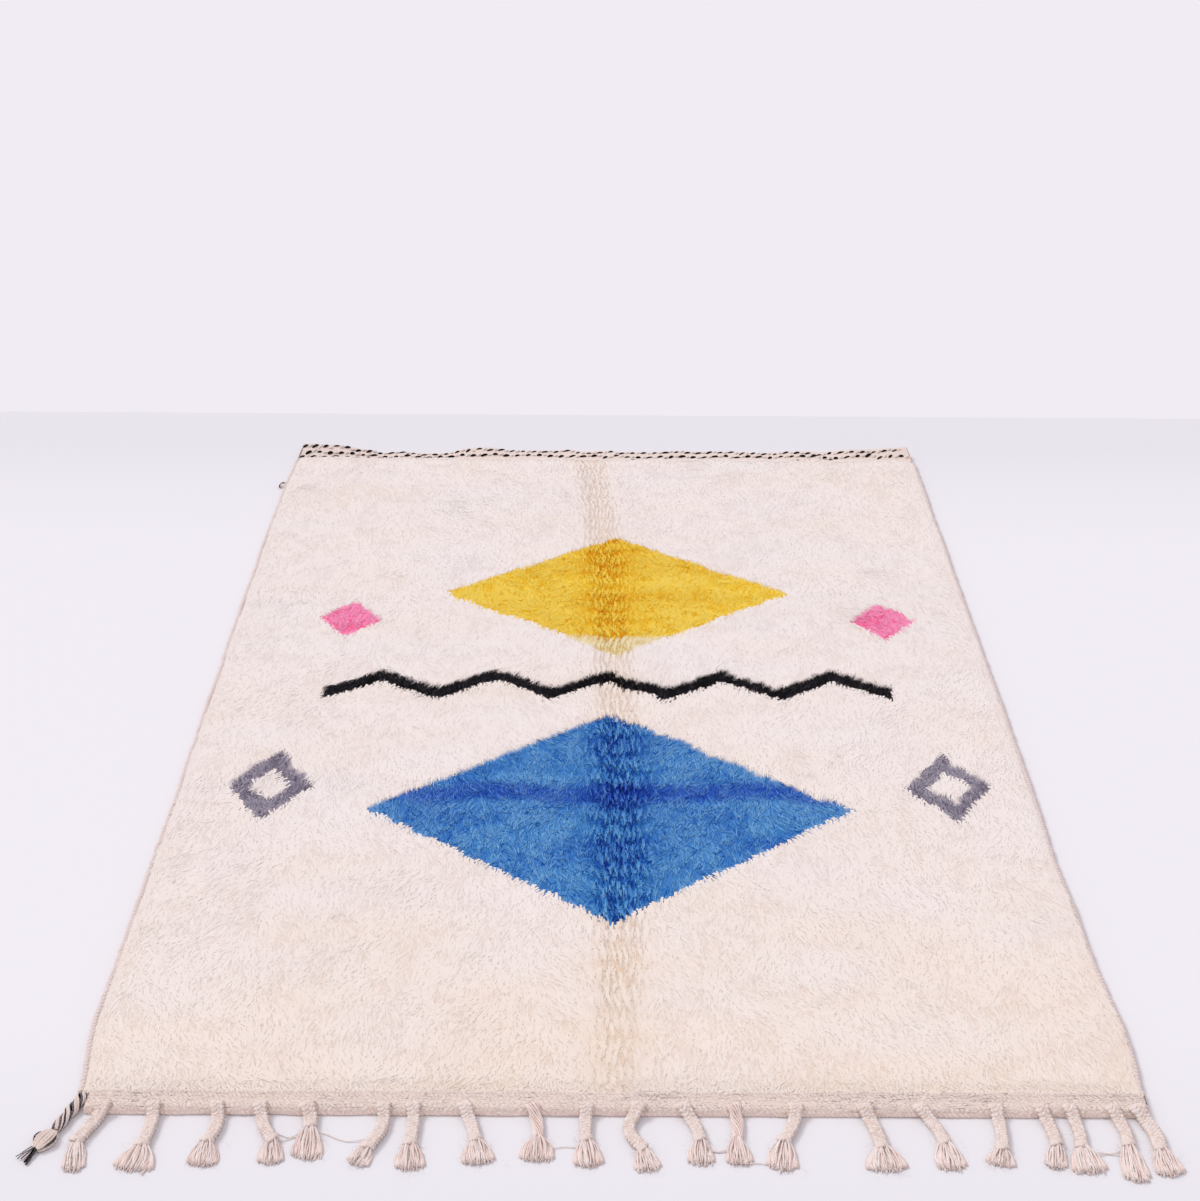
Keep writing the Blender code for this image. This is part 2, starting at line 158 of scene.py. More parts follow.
def addNode(material, kind, inputs=None, output=0, **settings):
    # adds a node and links or sets its inputs. It gives the output that the next node takes
    made = material.node_tree.nodes.new("ShaderNode" + kind)
    for name, value in settings.items():
        setattr(made, name, value)
    for socket, value in (inputs or {}).items():
        if isinstance(value, bpy.types.NodeSocket):
            material.node_tree.links.new(value, made.inputs[socket])
        else:
            made.inputs[socket].default_value = value
    return made.outputs[output]


def newMaterial(name, roughness):
    material = bpy.data.materials.new(name)
    material.use_nodes = True
    shader = material.node_tree.nodes["Principled BSDF"]
    shader.inputs["Roughness"].default_value = roughness
    shader.inputs["IOR"].default_value = 1.55          # keratin, the stuff of wool
    shader.inputs["Specular IOR Level"].default_value = 0.12
    return material


def finishMaterial(material, colour, normal=None):
    # the last colour and relief go to the surface
    surface = material.node_tree.nodes["Principled BSDF"].inputs
    material.node_tree.links.new(colour, surface["Base Color"])
    if normal:
        material.node_tree.links.new(normal, surface["Normal"])
    return material


def edgeX(side, y):
    # where a side of the pile runs at one y
    wave = rug["sideWave"] * noise.noise(Vector((0.0, y / rug["sideWaveLength"], 7.0 + side)))
    bow = rug["bowLeft"] * (1.0 - (y / farEnd) ** 4) if side < 0 else 0.0
    for place, reach, length in rug["swingsLeft" if side < 0 else "swingsRight"]:
        bow += reach * bell(y - place, length)
    return side * (rug["halfWidth"] + bow + wave)


def sideLimits(y):
    # where the two sides run, for an array of y
    stations = np.linspace(-farEnd, farEnd, 120)
    return [np.interp(y, stations, [edgeX(side, s) for s in stations]) for side in (-1, 1)]


def creaseX(y):
    # where the lengthwise fold runs
    return rug["creaseX"] - rug["creaseBend"] * (y - rug["creaseY"]) ** 2


def pileTop(x, y):
    # how high the pile stands, with its lumps, its fold and its two cross creases
    lumps = waveNoise(x, y, rug["lumpSize"], 1.0) + rug["swellShare"] * waveNoise(x, y, rug["swellSize"], 4.0)
    height = rug["pileHeight"] + lumps * rug["pileLump"]
    height -= rug["creaseDepth"] * bell(x - creaseX(y), rug["creaseHalfWidth"])
    for row in rug["crossCreases"]:
        height -= rug["crossDepth"] * bell(y - row - rug["crossSlant"] * x, rug["crossHalfWidth"])
    return height


view = {
    "focalPixels": 1900.0, "pictureHeight": 1201.0, "sensor": 36.0,
    "pitch": 28.18, "yaw": 0.35, "roll": 0.49, "place": (-0.041, -3.441, 2.076)}


def addCamera():
    pitch, yaw, roll = (math.radians(view[name]) for name in ("pitch", "yaw", "roll"))
    ahead = Vector((math.sin(yaw) * math.cos(pitch), math.cos(yaw) * math.cos(pitch), -math.sin(pitch)))
    right = Vector((math.cos(yaw), -math.sin(yaw), 0.0))
    up = right.cross(ahead)
    turned = Matrix((right * math.cos(roll) + up * math.sin(roll),
                     up * math.cos(roll) - right * math.sin(roll), -ahead)).transposed()
    data = bpy.data.cameras.new("camera")
    data.sensor_width = view["sensor"]
    data.lens = view["focalPixels"] / view["pictureHeight"] * view["sensor"]
    camera = bpy.data.objects.new("camera", data)
    camera.matrix_world = Matrix.Translation(Vector(view["place"]) + Vector(pileCentre)) @ turned.to_4x4()
    bpy.context.scene.collection.objects.link(camera)
    bpy.context.scene.camera = camera


room = {
    "wall": "#F1ECF3", "skyStrength": 0.87,
    "floor": "#EAE9EB", "floorShade": "#E2E1E4", "floorSize": 8.0, "floorEnd": 1.545, "floorLevel": -0.0004,
    # the painted shade comes in with the square of y, counted from a little in front of the middle
    "shadeShift": 0.1, "shadeStart": 0.8, "shadeFull": 2.2,
    "keyFrom": (-2.2, 1.2, 2.9), "keyAngle": 20.0, "keyStrength": 1.30}


def addSky():
    # a pale seamless room: the camera sees the wall's colour, and a softer sky lights the rug from all round
    scene = bpy.context.scene
    scene.view_settings.view_transform = "Standard"
    scene.world = bpy.data.worlds.new("room")
    scene.world.use_nodes = True
    nodes = scene.world.node_tree.nodes
    nodes["Background"].inputs["Color"].default_value = linear(room["wall"])
    nodes["Background"].inputs["Strength"].default_value = room["skyStrength"]
    seen = addNode(scene.world, "Background", {"Color": linear(room["wall"])})
    fromCamera = addNode(scene.world, "LightPath", output="Is Camera Ray")
    sky = nodes["Background"].outputs[0]
    either = addNode(scene.world, "MixShader", {"Fac": fromCamera, 1: sky, 2: seen})
    scene.world.node_tree.links.new(either, nodes["World Output"].inputs["Surface"])


def addFloor():
    bm = bmesh.new()
    bmesh.ops.create_grid(bm, x_segments=1, y_segments=1, size=room["floorSize"])
    for vert in bm.verts:
        vert.co.y = room["floorEnd"] + pileCentre[1] if vert.co.y > 0 else vert.co.y
        vert.co.z = room["floorLevel"]
    mesh = bpy.data.meshes.new("floor")
    bm.to_mesh(mesh)
    bm.free()
    paint = newMaterial("matt white floor paint", 0.6)
    # painted shade: a little darker far back and in front than round the middle
    place = addNode(paint, "TexCoord", output="Object")
    along = addNode(paint, "SeparateXYZ", {"Vector": place}, output="Y")
    away = addNode(paint, "Math", {0: along, 1: room["shadeShift"]}, operation="ADD")
    square = addNode(paint, "Math", {0: away, 1: 2.0}, operation="POWER")
    share = addNode(paint, "MapRange", {"Value": square, "From Min": room["shadeStart"],
                                        "From Max": room["shadeFull"]})
    shade = addNode(paint, "Mix", {0: share, 6: linear(room["floor"]), 7: linear(room["floorShade"])},
                    output=2, data_type="RGBA")
    mesh.materials.append(finishMaterial(paint, shade))
    floor = bpy.data.objects.new("floor", mesh)
    bpy.context.scene.collection.objects.link(floor)


def addKeyLight():
    data = bpy.data.lights.new("key", "SUN")
    data.angle, data.energy = math.radians(room["keyAngle"]), room["keyStrength"]
    lamp = bpy.data.objects.new("key", data)
    lamp.rotation_euler = Vector(room["keyFrom"]).to_track_quat("Z", "Y").to_euler()
    bpy.context.scene.collection.objects.link(lamp)


dyes = {
    "ivory": "#EEE6E2", "cream": "#EFE0D0", "yellow": "#F1D054", "amber": "#EAC040", "straw": "#EAD9AE",
    "blue": "#5E9AD0", "deepBlue": "#4070C0", "pink": "#FA92B8", "grey": "#9A93A0", "black": "#1A171C",
    # where the ivory yellows: in patches, along the fold and towards the near end
    "creamPatches": 0.40, "creamFold": 0.40, "creamNear": 0.45, "nearFrom": -0.5, "nearLength": 0.7,
    # streaks of another bath across the rug: share, how much it varies, how drawn out, size, seed
    "amberStreaks": (0.35, 0.50, 0.4, 0.07, 24), "blueStreaks": (0.16, 0.26, 0.3, 0.05, 27)}

design = {
    "yellowPlace": (0.02, 0.44), "yellowSize": (0.40, 0.29), "strawFrom": -0.70,
    "bluePlace": (0.00, -0.44), "blueSize": (0.47, 0.35), "bandUp": 0.06, "bandHalf": 0.034,
    "zigzagY": 0.025, "zigzagReach": 0.60, "zigzagStep": 0.24, "zigzagRise": 0.075, "zigzagHalf": 0.027,
    "pinkPlaces": ((-0.58, 0.31), (0.62, 0.31)), "pinkSize": (0.075, 0.085),
    "greyPlaces": ((-0.66, -0.36), (0.66, -0.36)), "greySize": (0.085, 0.12), "greyHollow": 0.45,
    "ragged": ((0.004, 0.012, 21), (0.005, 0.05, 22)), "raggedAlong": 0.7}


def lozenge(x, y, place, size):
    # below 1 inside, above 1 outside
    return np.abs(x - place[0]) / size[0] + np.abs(y - place[1]) / size[1]


def paintOver(colour, mask, dye):
    colour += np.clip(mask, 0.0, 1.0)[:, None] * (np.array(linear(dyes[dye])) - colour)


def streaksAt(x, y, name):
    share, spread, drawnOut, size, seed = dyes[name]
    return share + spread * softNoise(x * drawnOut, y, size, seed)


def dyeAt(x, y):
    # the yarn's colour at each knot. It changes from one knot to the next, so the edges are crisp but ragged
    wobble = layeredNoise(x, y, design["ragged"])
    x, y = x + wobble, y + design["raggedAlong"] * wobble
    colour = np.tile(linear(dyes["ivory"]), (len(x), 1))
    patches = dyes["creamPatches"] * (0.5 + 0.5 * softNoise(x * 0.5, y, 0.09, 23))
    towardsNear = np.clip((dyes["nearFrom"] - y) / dyes["nearLength"], 0.0, 1.0)
    fold = dyes["creamFold"] * creaseShare(x, y)
    paintOver(colour, patches + fold + dyes["creamNear"] * towardsNear, "cream")
    inside = lozenge(x, y, design["yellowPlace"], design["yellowSize"]) < 1.0
    paintOver(colour, inside, "yellow")
    paintOver(colour, inside * streaksAt(x, y, "amberStreaks"), "amber")
    strawTop = design["yellowPlace"][1] + design["strawFrom"] * design["yellowSize"][1]
    paintOver(colour, inside * (y < strawTop + 0.008 * softNoise(x, y * 0, 0.06, 25)), "straw")
    inside = lozenge(x, y, design["bluePlace"], design["blueSize"]) < 1.0
    paintOver(colour, inside, "blue")
    deepY = design["bluePlace"][1] + design["bandUp"] + 0.012 * softNoise(x, y * 0, 0.09, 26)
    paintOver(colour, inside * bell(y - deepY, design["bandHalf"], 4), "deepBlue")
    paintOver(colour, inside * streaksAt(x, y, "blueStreaks"), "deepBlue")
    phase = np.abs((x / design["zigzagStep"]) % 1.0 - 0.5) * 2.0
    line = design["zigzagY"] + design["zigzagRise"] * (phase - 0.5)
    drawn = (np.abs(y - line) < design["zigzagHalf"]) & (np.abs(x) < design["zigzagReach"])
    paintOver(colour, drawn, "black")
    for place in design["pinkPlaces"]:
        paintOver(colour, lozenge(x, y, place, design["pinkSize"]) < 1.0, "pink")
    for place in design["greyPlaces"]:
        shape = lozenge(x, y, place, design["greySize"])
        paintOver(colour, (shape < 1.0) & (shape > design["greyHollow"]), "grey")
    return colour


def paleShare(colour):
    # light scatters far in undyed wool and fills its hollows, so the relief of pale places is drawn flatter
    return ramp(colour[:, :3] @ (0.3, 0.6, 0.1), 0.12, 0.66)


pile = {
    # where the knots are: their spacing in a row and from row to row, and how far a lock stands from its knot
    "seed": 5, "pieces": 5, "spacing": 0.0058, "creaseSpacing": 0.0062, "rowShare": 0.86, "astray": 0.40,
    "knotsTo": 0.85, "inset": 0.001, "rimWide": 0.007, "rimTo": 0.816, "rimLocks": 1500,
    # a lock's length and width, thinner at the rim and in the fold
    "lengthLow": 0.022, "lengthHigh": 0.036, "creaseShorter": 0.15,
    "halfWidth": 0.0024, "widthLow": 0.75, "widthHigh": 1.3, "creaseThinner": 0.22,
    "rimThin": 0.45, "rimThinReach": 0.012,
    # how it stands: root under and tip over the pile's top, and how round its shading is
    "halfHeight": 0.0008, "rootSink": 0.0025, "tipRise": 0.0004, "roundness": 0.7, "lowest": 0.0012,
    # how locks differ in tone, how much painted shade darkens them from tip to root and on their undersides,
    # and where their two dyes are taken
    "toneSpread": 0.26, "rootShade": 0.4, "underShade": 0.20, "dyeSpread": 0.11,
    # the fold: how far it reaches, and over what length it fades in at the near end
    "creaseZone": 0.046, "creaseFade": 0.30,
    # how the pile rounds down at its outline: where, its share of the drop, over what length
    "rimDrop": 0.0085, "rimDrops": (("side", 0.68, 0.0070), ("near", 0.64, 0.0065), ("far", 0.10, 0.0050)),
    # the share of a lock's reach past the outline that is kept
    "overSides": 0.30, "overEnds": 0.25}

lie = {
    # slow and quick swirls: how far they turn a lock, over what size, and the seed
    "swirls": ((0.40, 0.36, 31), (0.50, 0.11, 32), (0.55, 0.030, 33)), "stray": 0.34,
    # how much straighter the locks lie in the fold and at the rims, and how they turn out at the sides
    "creaseCombed": 0.80, "sideCombed": 0.90, "nearCombed": 0.85, "rimReach": 0.020, "sideTurn": 0.55,
    # at the far end they lie the other way, over the heading
    "farTurn": 1.5, "farReach": 0.014, "farOver": 0.010}

tuft = {
    # a tuft's size, how far it draws its tips in, how deep the crack round it is, and how dark the painted
    # shade in it is
    "wide": 0.032, "long": 0.020, "pull": 0.16, "crack": 0.0014, "crackShade": 0.7,
    "creaseWide": 0.0120, "creaseLong": 0.060, "creasePull": 0.72, "creaseCrack": 0.0018, "creaseShade": 1.6,
    # how much locks in the fold line up with it, how tufts bend, and where the cracks of the open pile show
    "creaseUpright": 0.5, "warp": ((0.006, 0.020, 41), (0.010, 0.06, 42)), "warpAcross": 0.3,
    "patchSize": 0.035, "patchSharp": 3.0}

pale = {
    # how much less relief, crack, painted crack shade, tone and streaks the palest wool shows
    "flatter": 0.93, "cracks": 0.80, "crackShade": 0.60, "toneSpread": 0.80, "streaks": 0.50, "foot": 0.78,
    # how far the brushed top is rubbed into cracks that get a bump and painted shade, from black to yellow
    # and pink, to the palest wool
    "wearAndShadeAt": (0.0, 0.2, 0.8, 1.0), "wearAndShade": (0.30, 0.60, 0.80, 0.26)}

mat = {
    # the slab's wall, how far its top lies below the pile's, and how its grid closes up at the rim
    "wall": 0.0090, "below": 0.0024, "creaseBelow": 0.0030, "nearBelow": 0.0010, "nearReach": 0.015,
    "columns": 118, "rows": 156, "rim": (0.0, 0.002, 0.0045, 0.008, 0.013, 0.020), "inner": 0.030}


def creaseShare(x, y):
    # 1 in the middle of the lengthwise fold, 0 away from it. The fold fades towards the near end
    fade = np.clip((y + farEnd) / pile["creaseFade"], 0.55, 1.0)
    return fade * bell(x - creaseX(y), pile["creaseZone"])


def rimDrop(x, y):
    # how far the pile's top rounds down towards its outline, least at the far end
    left, right = sideLimits(y)
    inward = {"side": np.minimum(x - left, right - x), "near": y + farEnd, "far": farEnd - y}
    drops = [most * np.exp(-np.clip(inward[rim] + 0.002, 0.0, 1.0) / reach)
             for rim, most, reach in pile["rimDrops"]]
    return pile["rimDrop"] * np.max(drops, axis=0)


def lockShape():
    # one lock of wool: a slim three-sided cone, its root at 0 and its tip at 1
    bm = bmesh.new()
    bmesh.ops.create_cone(bm, cap_ends=True, segments=3, radius1=1.0, radius2=0.0, depth=1.0)
    across, up, along = np.array([vert.co for vert in bm.verts]).T
    faces = np.array([[vert.index for vert in face.verts] for face in bm.faces])
    bm.free()
    return across, along + 0.5, up, faces


def knotPlaces():
    # one lock for each knot, in rows, a little astray, and more of them along the crease
    random = np.random.default_rng(pile["seed"])
    inset, astray = pile["inset"], pile["astray"]
    found = []
    for spacing, inCrease in ((pile["spacing"], False), (pile["creaseSpacing"], True)):
        rows = np.arange(-farEnd + 2 * inset, farEnd - inset, spacing * pile["rowShare"])
        x, y = np.meshgrid(np.arange(-pile["knotsTo"], pile["knotsTo"], spacing), rows)
        x[1::2] += spacing / 2
        x, y = (g.ravel() + random.uniform(-astray, astray, g.size) * spacing for g in (x, y))
        left, right = sideLimits(y)
        kept = (x > left + inset) & (x < right - inset) & (np.abs(y) < farEnd - inset)
        if inCrease:
            kept &= np.abs(x - creaseX(y)) < 1.3 * pile["creaseZone"]
        found.append(np.stack([x[kept], y[kept]]))
    # and thin ones close together round the rim: the near end, then both sides
    count = pile["rimLocks"]
    nearIn, *sidesIn = random.uniform(inset, pile["rimWide"], (3, count))
    found.append(np.stack([random.uniform(-pile["rimTo"], pile["rimTo"], count), nearIn - farEnd]))
    for side, sideIn in enumerate(sidesIn):
        y = random.uniform(-farEnd + 2 * inset, farEnd - 2 * inset, count)
        found.append(np.stack([sideLimits(y)[side] + sideIn * (1 - 2 * side), y]))
    return *np.concatenate(found, axis=1), random


def clumpCentre(x, y, wide, long, seed):
    # the nearest middle of a tuft that hangs together, and how far out towards its rim
    table = np.random.default_rng(seed).uniform(0.15, 0.85, (256, 256, 2))
    u, v = x / wide, y / long
    best, second = np.full(len(x), 1e9), np.full(len(x), 1e9)
    found = np.zeros((len(x), 2))
    for i in (-1, 0, 1):
        for j in (-1, 0, 1):
            a, b = np.floor(u).astype(int) + i, np.floor(v).astype(int) + j
            middle = np.stack([a, b], 1) + table[a % 256, b % 256]
            apart = np.hypot(u - middle[:, 0], v - middle[:, 1])
            closer = apart < best
            second = np.where(closer, best, np.minimum(second, apart))
            best = np.where(closer, apart, best)
            found[closer] = middle[closer]
    return found[:, 0] * wide, found[:, 1] * long, 1.0 - np.clip((second - best) / 0.5, 0.0, 1.0)


def lockLay(x, y, random):
    # which way each lock lies: towards the near end, with slow swirls, straighter in the fold and at the rims
    share = creaseShare(x, y)
    left, right = sideLimits(y)
    atLeft, atRight, atNear = (np.exp(-inward / lie["rimReach"])
                               for inward in (x - left, right - x, y + farEnd))
    turn = layeredNoise(x, y, lie["swirls"]) * (1.0 - lie["creaseCombed"] * share)
    turn *= 1.0 - lie["sideCombed"] * np.maximum(atLeft, atRight)
    turn *= 1.0 - lie["nearCombed"] * atNear
    turn += lie["sideTurn"] * (atRight - atLeft)
    turn += random.normal(0.0, lie["stray"], len(x))
    turnedOver = 1.0 - lie["farTurn"] * ramp(y, farEnd - lie["farReach"], lie["farOver"])
    return unit(np.stack([np.sin(turn), -np.cos(turn) * turnedOver], 1)), share


def keepInside(spot):
    # locks at the rim turn down and hang over it by a little at most
    left, right = sideLimits(spot[:, 1])
    limits = ((left, right, pile["overSides"]), (-farEnd, farEnd, pile["overEnds"]))
    for axis, (low, high, over) in enumerate(limits):
        past = np.maximum(spot[:, axis] - high, 0.0) - np.maximum(low - spot[:, axis], 0.0)
        spot[:, axis] -= past * (1.0 - over)


def gatherTufts(root, tip, share):
    # tufts draw their locks together, most of all along the crease, and leave cracks between them; beside
    # the locks' middles it gives the fold's share, and how near a crack each lock is inside and outside it
    zone = np.clip(share * 1.4, 0.0, 1.0)
    patch = np.clip(softNoise(*root.T, tuft["patchSize"], 45) * tuft["patchSharp"], 0.0, 1.0)
    middle = (root + tip) / 2
    warp = layeredNoise(middle[:, 0] * tuft["warpAcross"], middle[:, 1], tuft["warp"])
    aside = middle[:, 0] - creaseX(middle[:, 1]) + warp
    axis, _, foldRim = clumpCentre(aside, middle[:, 1], tuft["creaseWide"], tuft["creaseLong"], 43)
    for end in (root, tip):
        upright = (middle[:, 0] - end[:, 0]) * tuft["creaseUpright"] * zone
        end[:, 0] += (axis - aside) * tuft["creasePull"] * zone + upright
    tuftX, tuftY, tuftRim = clumpCentre(tip[:, 0] + warp, tip[:, 1], tuft["wide"], tuft["long"], 44)
    tip += (np.stack([tuftX - warp, tuftY], 1) - tip) * (tuft["pull"] * (1.0 - zone))[:, None]
    keepInside(tip)
    return middle, zone, zone * foldRim, (1.0 - zone) * tuftRim * patch


def lockShades(inFold, inPile, seed, whiteness):
    # how deep each lock looks (painted shade by its crack, and its own tone), how rubbed and shaded its
    # winding cracks are, and how streaky it is, by how pale it is
    whitest = np.clip(whiteness * 3.0 - 2.0, 0.0, 1.0)
    crack = np.maximum(tuft["creaseShade"] * inFold, tuft["crackShade"] * inPile)
    own = pile["toneSpread"] * (seed - 0.5) * (1.0 - pale["toneSpread"] * whiteness)
    return {"depth": crack * (1.0 - pale["crackShade"] * whitest) + own,
            "wearAndShade": np.interp(whiteness, pale["wearAndShadeAt"], pale["wearAndShade"]),
            "streaky": 1.0 - pale["streaks"] * whitest}


def layLocks():
    # every lock's root and tip on the pile's top, its two dyes, its width and its shades
    x, y, random = knotPlaces()
    ahead, share = lockLay(x, y, random)
    length = random.uniform(pile["lengthLow"], pile["lengthHigh"], len(x))
    length *= 1.0 - pile["creaseShorter"] * share
    root = np.stack([x, y], 1)
    tip = root + ahead * length[:, None]
    middle, zone, inFold, inPile = gatherTufts(root, tip, share)
    towardsTip = pile["dyeSpread"] * (tip - root)
    colour = np.stack([dyeAt(*(middle - towardsTip).T), dyeAt(*(middle + towardsTip).T)], 1)
    whiteness = paleShare(colour.mean(axis=1))
    relief = 1.0 - pale["flatter"] * whiteness
    sink = (tuft["creaseCrack"] * inFold + tuft["crack"] * inPile) * (1.0 - pale["cracks"] * whiteness)
    spots = [np.column_stack([spot, pileTop(*spot.T) - rimDrop(*spot.T) - sink - drop])
             for spot, drop in ((root, pile["rootSink"] * relief), (tip, pile["tipRise"] * (0.4 - relief)))]
    seed = random.uniform(0.0, 1.0, len(x))
    left, right = sideLimits(y)
    atRim = np.exp(-np.minimum(np.minimum(x - left, right - x), y + farEnd) / pile["rimThinReach"])
    width = random.uniform(pile["widthLow"], pile["widthHigh"], len(x)) * (1.0 - pile["rimThin"] * atRim)
    return {"spots": np.stack(spots, 1), "side": np.stack([-ahead[:, 1], ahead[:, 0]], 1), "zone": zone,
            "colour": colour, "relief": relief, "seed": seed, "width": width,
            **lockShades(inFold, inPile, seed, whiteness)}


def growLocks(name, locks, chosen, material):
    # one mesh of the chosen locks, each with its dye, its place along the strand, and its depth: painted
    # shade and its own tone
    across, along, up, faces = lockShape()
    count, corners = len(chosen), len(across)
    part = {key: value[chosen] for key, value in locks.items()}
    relief, seed = part["relief"][:, None], part["seed"][:, None]
    stage = np.round(along).astype(int)
    half = pile["halfWidth"] * part["width"][:, None] * (1.0 - pile["creaseThinner"] * part["zone"][:, None])
    points = part["spots"][:, stage, :]
    points[:, :, :2] += part["side"][:, None, :] * (across * half)[:, :, None]
    points[:, :, 2] += up * pile["halfHeight"] * relief
    points[:, :, 2] = np.maximum(points[:, :, 2], pile["lowest"])
    joined = (faces[None] + corners * np.arange(count)[:, None, None]).reshape(-1, 3)
    mesh = meshFromArrays(name, points.reshape(-1, 3), joined)
    # light goes through a lock's thin fibres, so it shades by the pile's lie more than by its own round side
    lean = part["side"][:, None, :] * (across * pile["roundness"] * relief ** 2)[:, :, None]
    normals = unit(np.concatenate([lean, np.ones((count, corners, 1))], axis=2))
    mesh.normals_split_custom_set_from_vertices(normals.reshape(-1, 3))
    setAttribute(mesh, "dye", part["colour"][:, stage])
    length = np.linalg.norm(part["spots"][:, 1] - part["spots"][:, 0], axis=1)[:, None]
    strand = np.broadcast_arrays(across * half + seed * 3.0, along * length, seed)
    setAttribute(mesh, "strand", np.stack(strand, -1))
    # painted shade: darker towards the root and on the lock's underside, less where the wool is pale
    shaded = (pile["rootShade"] * (0.5 - along) + pile["underShade"] * (up < 0)) * relief
    setAttribute(mesh, "depth", part["depth"][:, None] + shaded)
    for share in ("wearAndShade", "streaky"):
        setAttribute(mesh, share, np.repeat(part[share], corners))
    return addPiece(name, mesh, material, "pile_field")


def dyedWool():
    # hand-spun wool, dyed in the yarn and brushed by use: matt, soft, streaked along each lock.
    # Painted shade: where light would scatter down between the locks and come back stronger in colour, the
    # depth and the cracks raise the dye to a higher power
    material = newMaterial("hand-spun wool pile", 0.95)
    dye = addNode(material, "Attribute", attribute_name="dye")
    strand = addNode(material, "Attribute", output="Vector", attribute_name="strand")
    depth, wearAndShade, streaky = (addNode(material, "Attribute", output="Fac", attribute_name=name)
                            for name in ("depth", "wearAndShade", "streaky"))
    # fibres gather in strands about 1 mm wide, drawn at 1.8 mm to show from across the room
    laid = addNode(material, "Mapping", {"Vector": strand, "Scale": (1 / 0.0018, 1 / 0.022, 0.0)})
    fibres = addNode(material, "TexNoise", {"Vector": laid, "Scale": 1.0, "Detail": 2.0})
    lighter = addNode(material, "MapRange", {"Value": fibres, "From Min": 0.3, "From Max": 0.7,
                                             "To Min": 0.24, "To Max": -0.28})
    streaked = addNode(material, "Math", {0: lighter, 1: streaky, 2: 1.0}, operation="MULTIPLY_ADD")
    raised = addNode(material, "Math", {0: fibres, 1: streaky}, operation="MULTIPLY")
    # the brushed top parts in short winding cracks, 10 to 20 mm long, with a bump and painted shade where the
    # deeper yarn shows
    place = addNode(material, "TexCoord", output="Object")
    drawnOut = addNode(material, "Mapping", {"Vector": place, "Scale": (1 / 0.017, 1 / 0.021, 1 / 0.05)})
    winding = addNode(material, "TexNoise", {"Vector": drawnOut, "Scale": 1.0, "Detail": 1.0})
    offLine = addNode(material, "Math", {0: winding, 1: 0.5}, operation="SUBTRACT")
    away = addNode(material, "Math", {0: offLine}, operation="ABSOLUTE")
    line = addNode(material, "MapRange", {"Value": away, "From Min": 0.008, "From Max": 0.038,
                                          "To Min": 1.0, "To Max": 0.0})
    breaks = addNode(material, "TexNoise", {"Vector": place, "Scale": 1 / 0.024})
    broken = addNode(material, "MapRange", {"Value": breaks, "From Min": 0.45, "From Max": 0.56})
    cracks = addNode(material, "Math", {0: line, 1: broken}, operation="MULTIPLY")
    # the cracks are real partings of the rubbed pile; their darker, stronger colour is painted shade
    wornAndShaded = addNode(material, "Math", {0: cracks, 1: wearAndShade}, operation="MULTIPLY")
    deep = addNode(material, "Math", {0: wornAndShaded, 1: 0.90, 2: depth}, operation="MULTIPLY_ADD")
    power = addNode(material, "Math", {0: deep, 1: 1.35, 2: streaked}, operation="MULTIPLY_ADD")
    kept = addNode(material, "Math", {0: power, 1: 0.35}, operation="MAXIMUM")
    colour = addNode(material, "Gamma", {"Color": dye, "Gamma": kept})
    height = addNode(material, "Math", {0: wornAndShaded, 1: -1.2, 2: raised}, operation="MULTIPLY_ADD")
    bump = addNode(material, "Bump", {"Height": height, "Strength": 0.5, "Distance": 0.0010})
    return finishMaterial(material, colour, bump)


def closerAtRim(place, count, size):
    # even places from -0.5 to 0.5 become shares of the size from 0 to 1 that close up at both ends
    rim = np.array(mat["rim"]) / size
    inner = np.linspace(mat["inner"] / size, 1.0 - mat["inner"] / size, count + 1 - 2 * len(rim))
    stations = np.concatenate([rim, inner, 1.0 - rim[::-1]])
    return stations[np.round((place + 0.5) * count).astype(int)]


def knottedGround():
    # the matted foot of the pile and the cloth under it: a slab whose top follows the pile's lumps
    bm = bmesh.new()
    bmesh.ops.create_grid(bm, x_segments=mat["columns"], y_segments=mat["rows"], size=0.5)
    rim = [edge for edge in bm.edges if edge.is_boundary]
    across, along, _ = np.array([vert.co for vert in bm.verts]).T
    y = 2.0 * farEnd * (closerAtRim(along, mat["rows"], 2.0 * farEnd) - 0.5)
    left, right = sideLimits(y)
    x = left + (right - left) * closerAtRim(across, mat["columns"], 2.0 * rug["halfWidth"])
    whiteness = paleShare(dyeAt(x, y))
    z = pileTop(x, y) - rimDrop(x, y) - mat["below"] * (1.0 - pale["foot"] * whiteness)
    z -= mat["nearBelow"] * np.exp(-(y + farEnd) / mat["nearReach"])
    z -= mat["creaseBelow"] * creaseShare(x, y) * (1.0 - pale["cracks"] * whiteness)
    for vert, place in zip(bm.verts, np.column_stack([x, y, z])):
        vert.co = place
    for height in (mat["wall"] * 0.5, 0.0):
        grown = bmesh.ops.extrude_edge_only(bm, edges=rim)["geom"]
        for vert in [item for item in grown if isinstance(item, bmesh.types.BMVert)]:
            vert.co.z = height
        rim = [item for item in grown if isinstance(item, bmesh.types.BMEdge) and item.is_boundary]
    bmesh.ops.contextual_create(bm, geom=rim)
    bmesh.ops.recalc_face_normals(bm, faces=bm.faces)
    mesh = bpy.data.meshes.new("knottedGround")
    bm.to_mesh(mesh)
    bm.free()
    mesh.shade_smooth()
    x, y, _ = np.array([vert.co for vert in mesh.vertices]).T
    setAttribute(mesh, "dye", dyeAt(x, y))
    return addPiece("knottedGround", mesh, groundWool(), "pile_field")


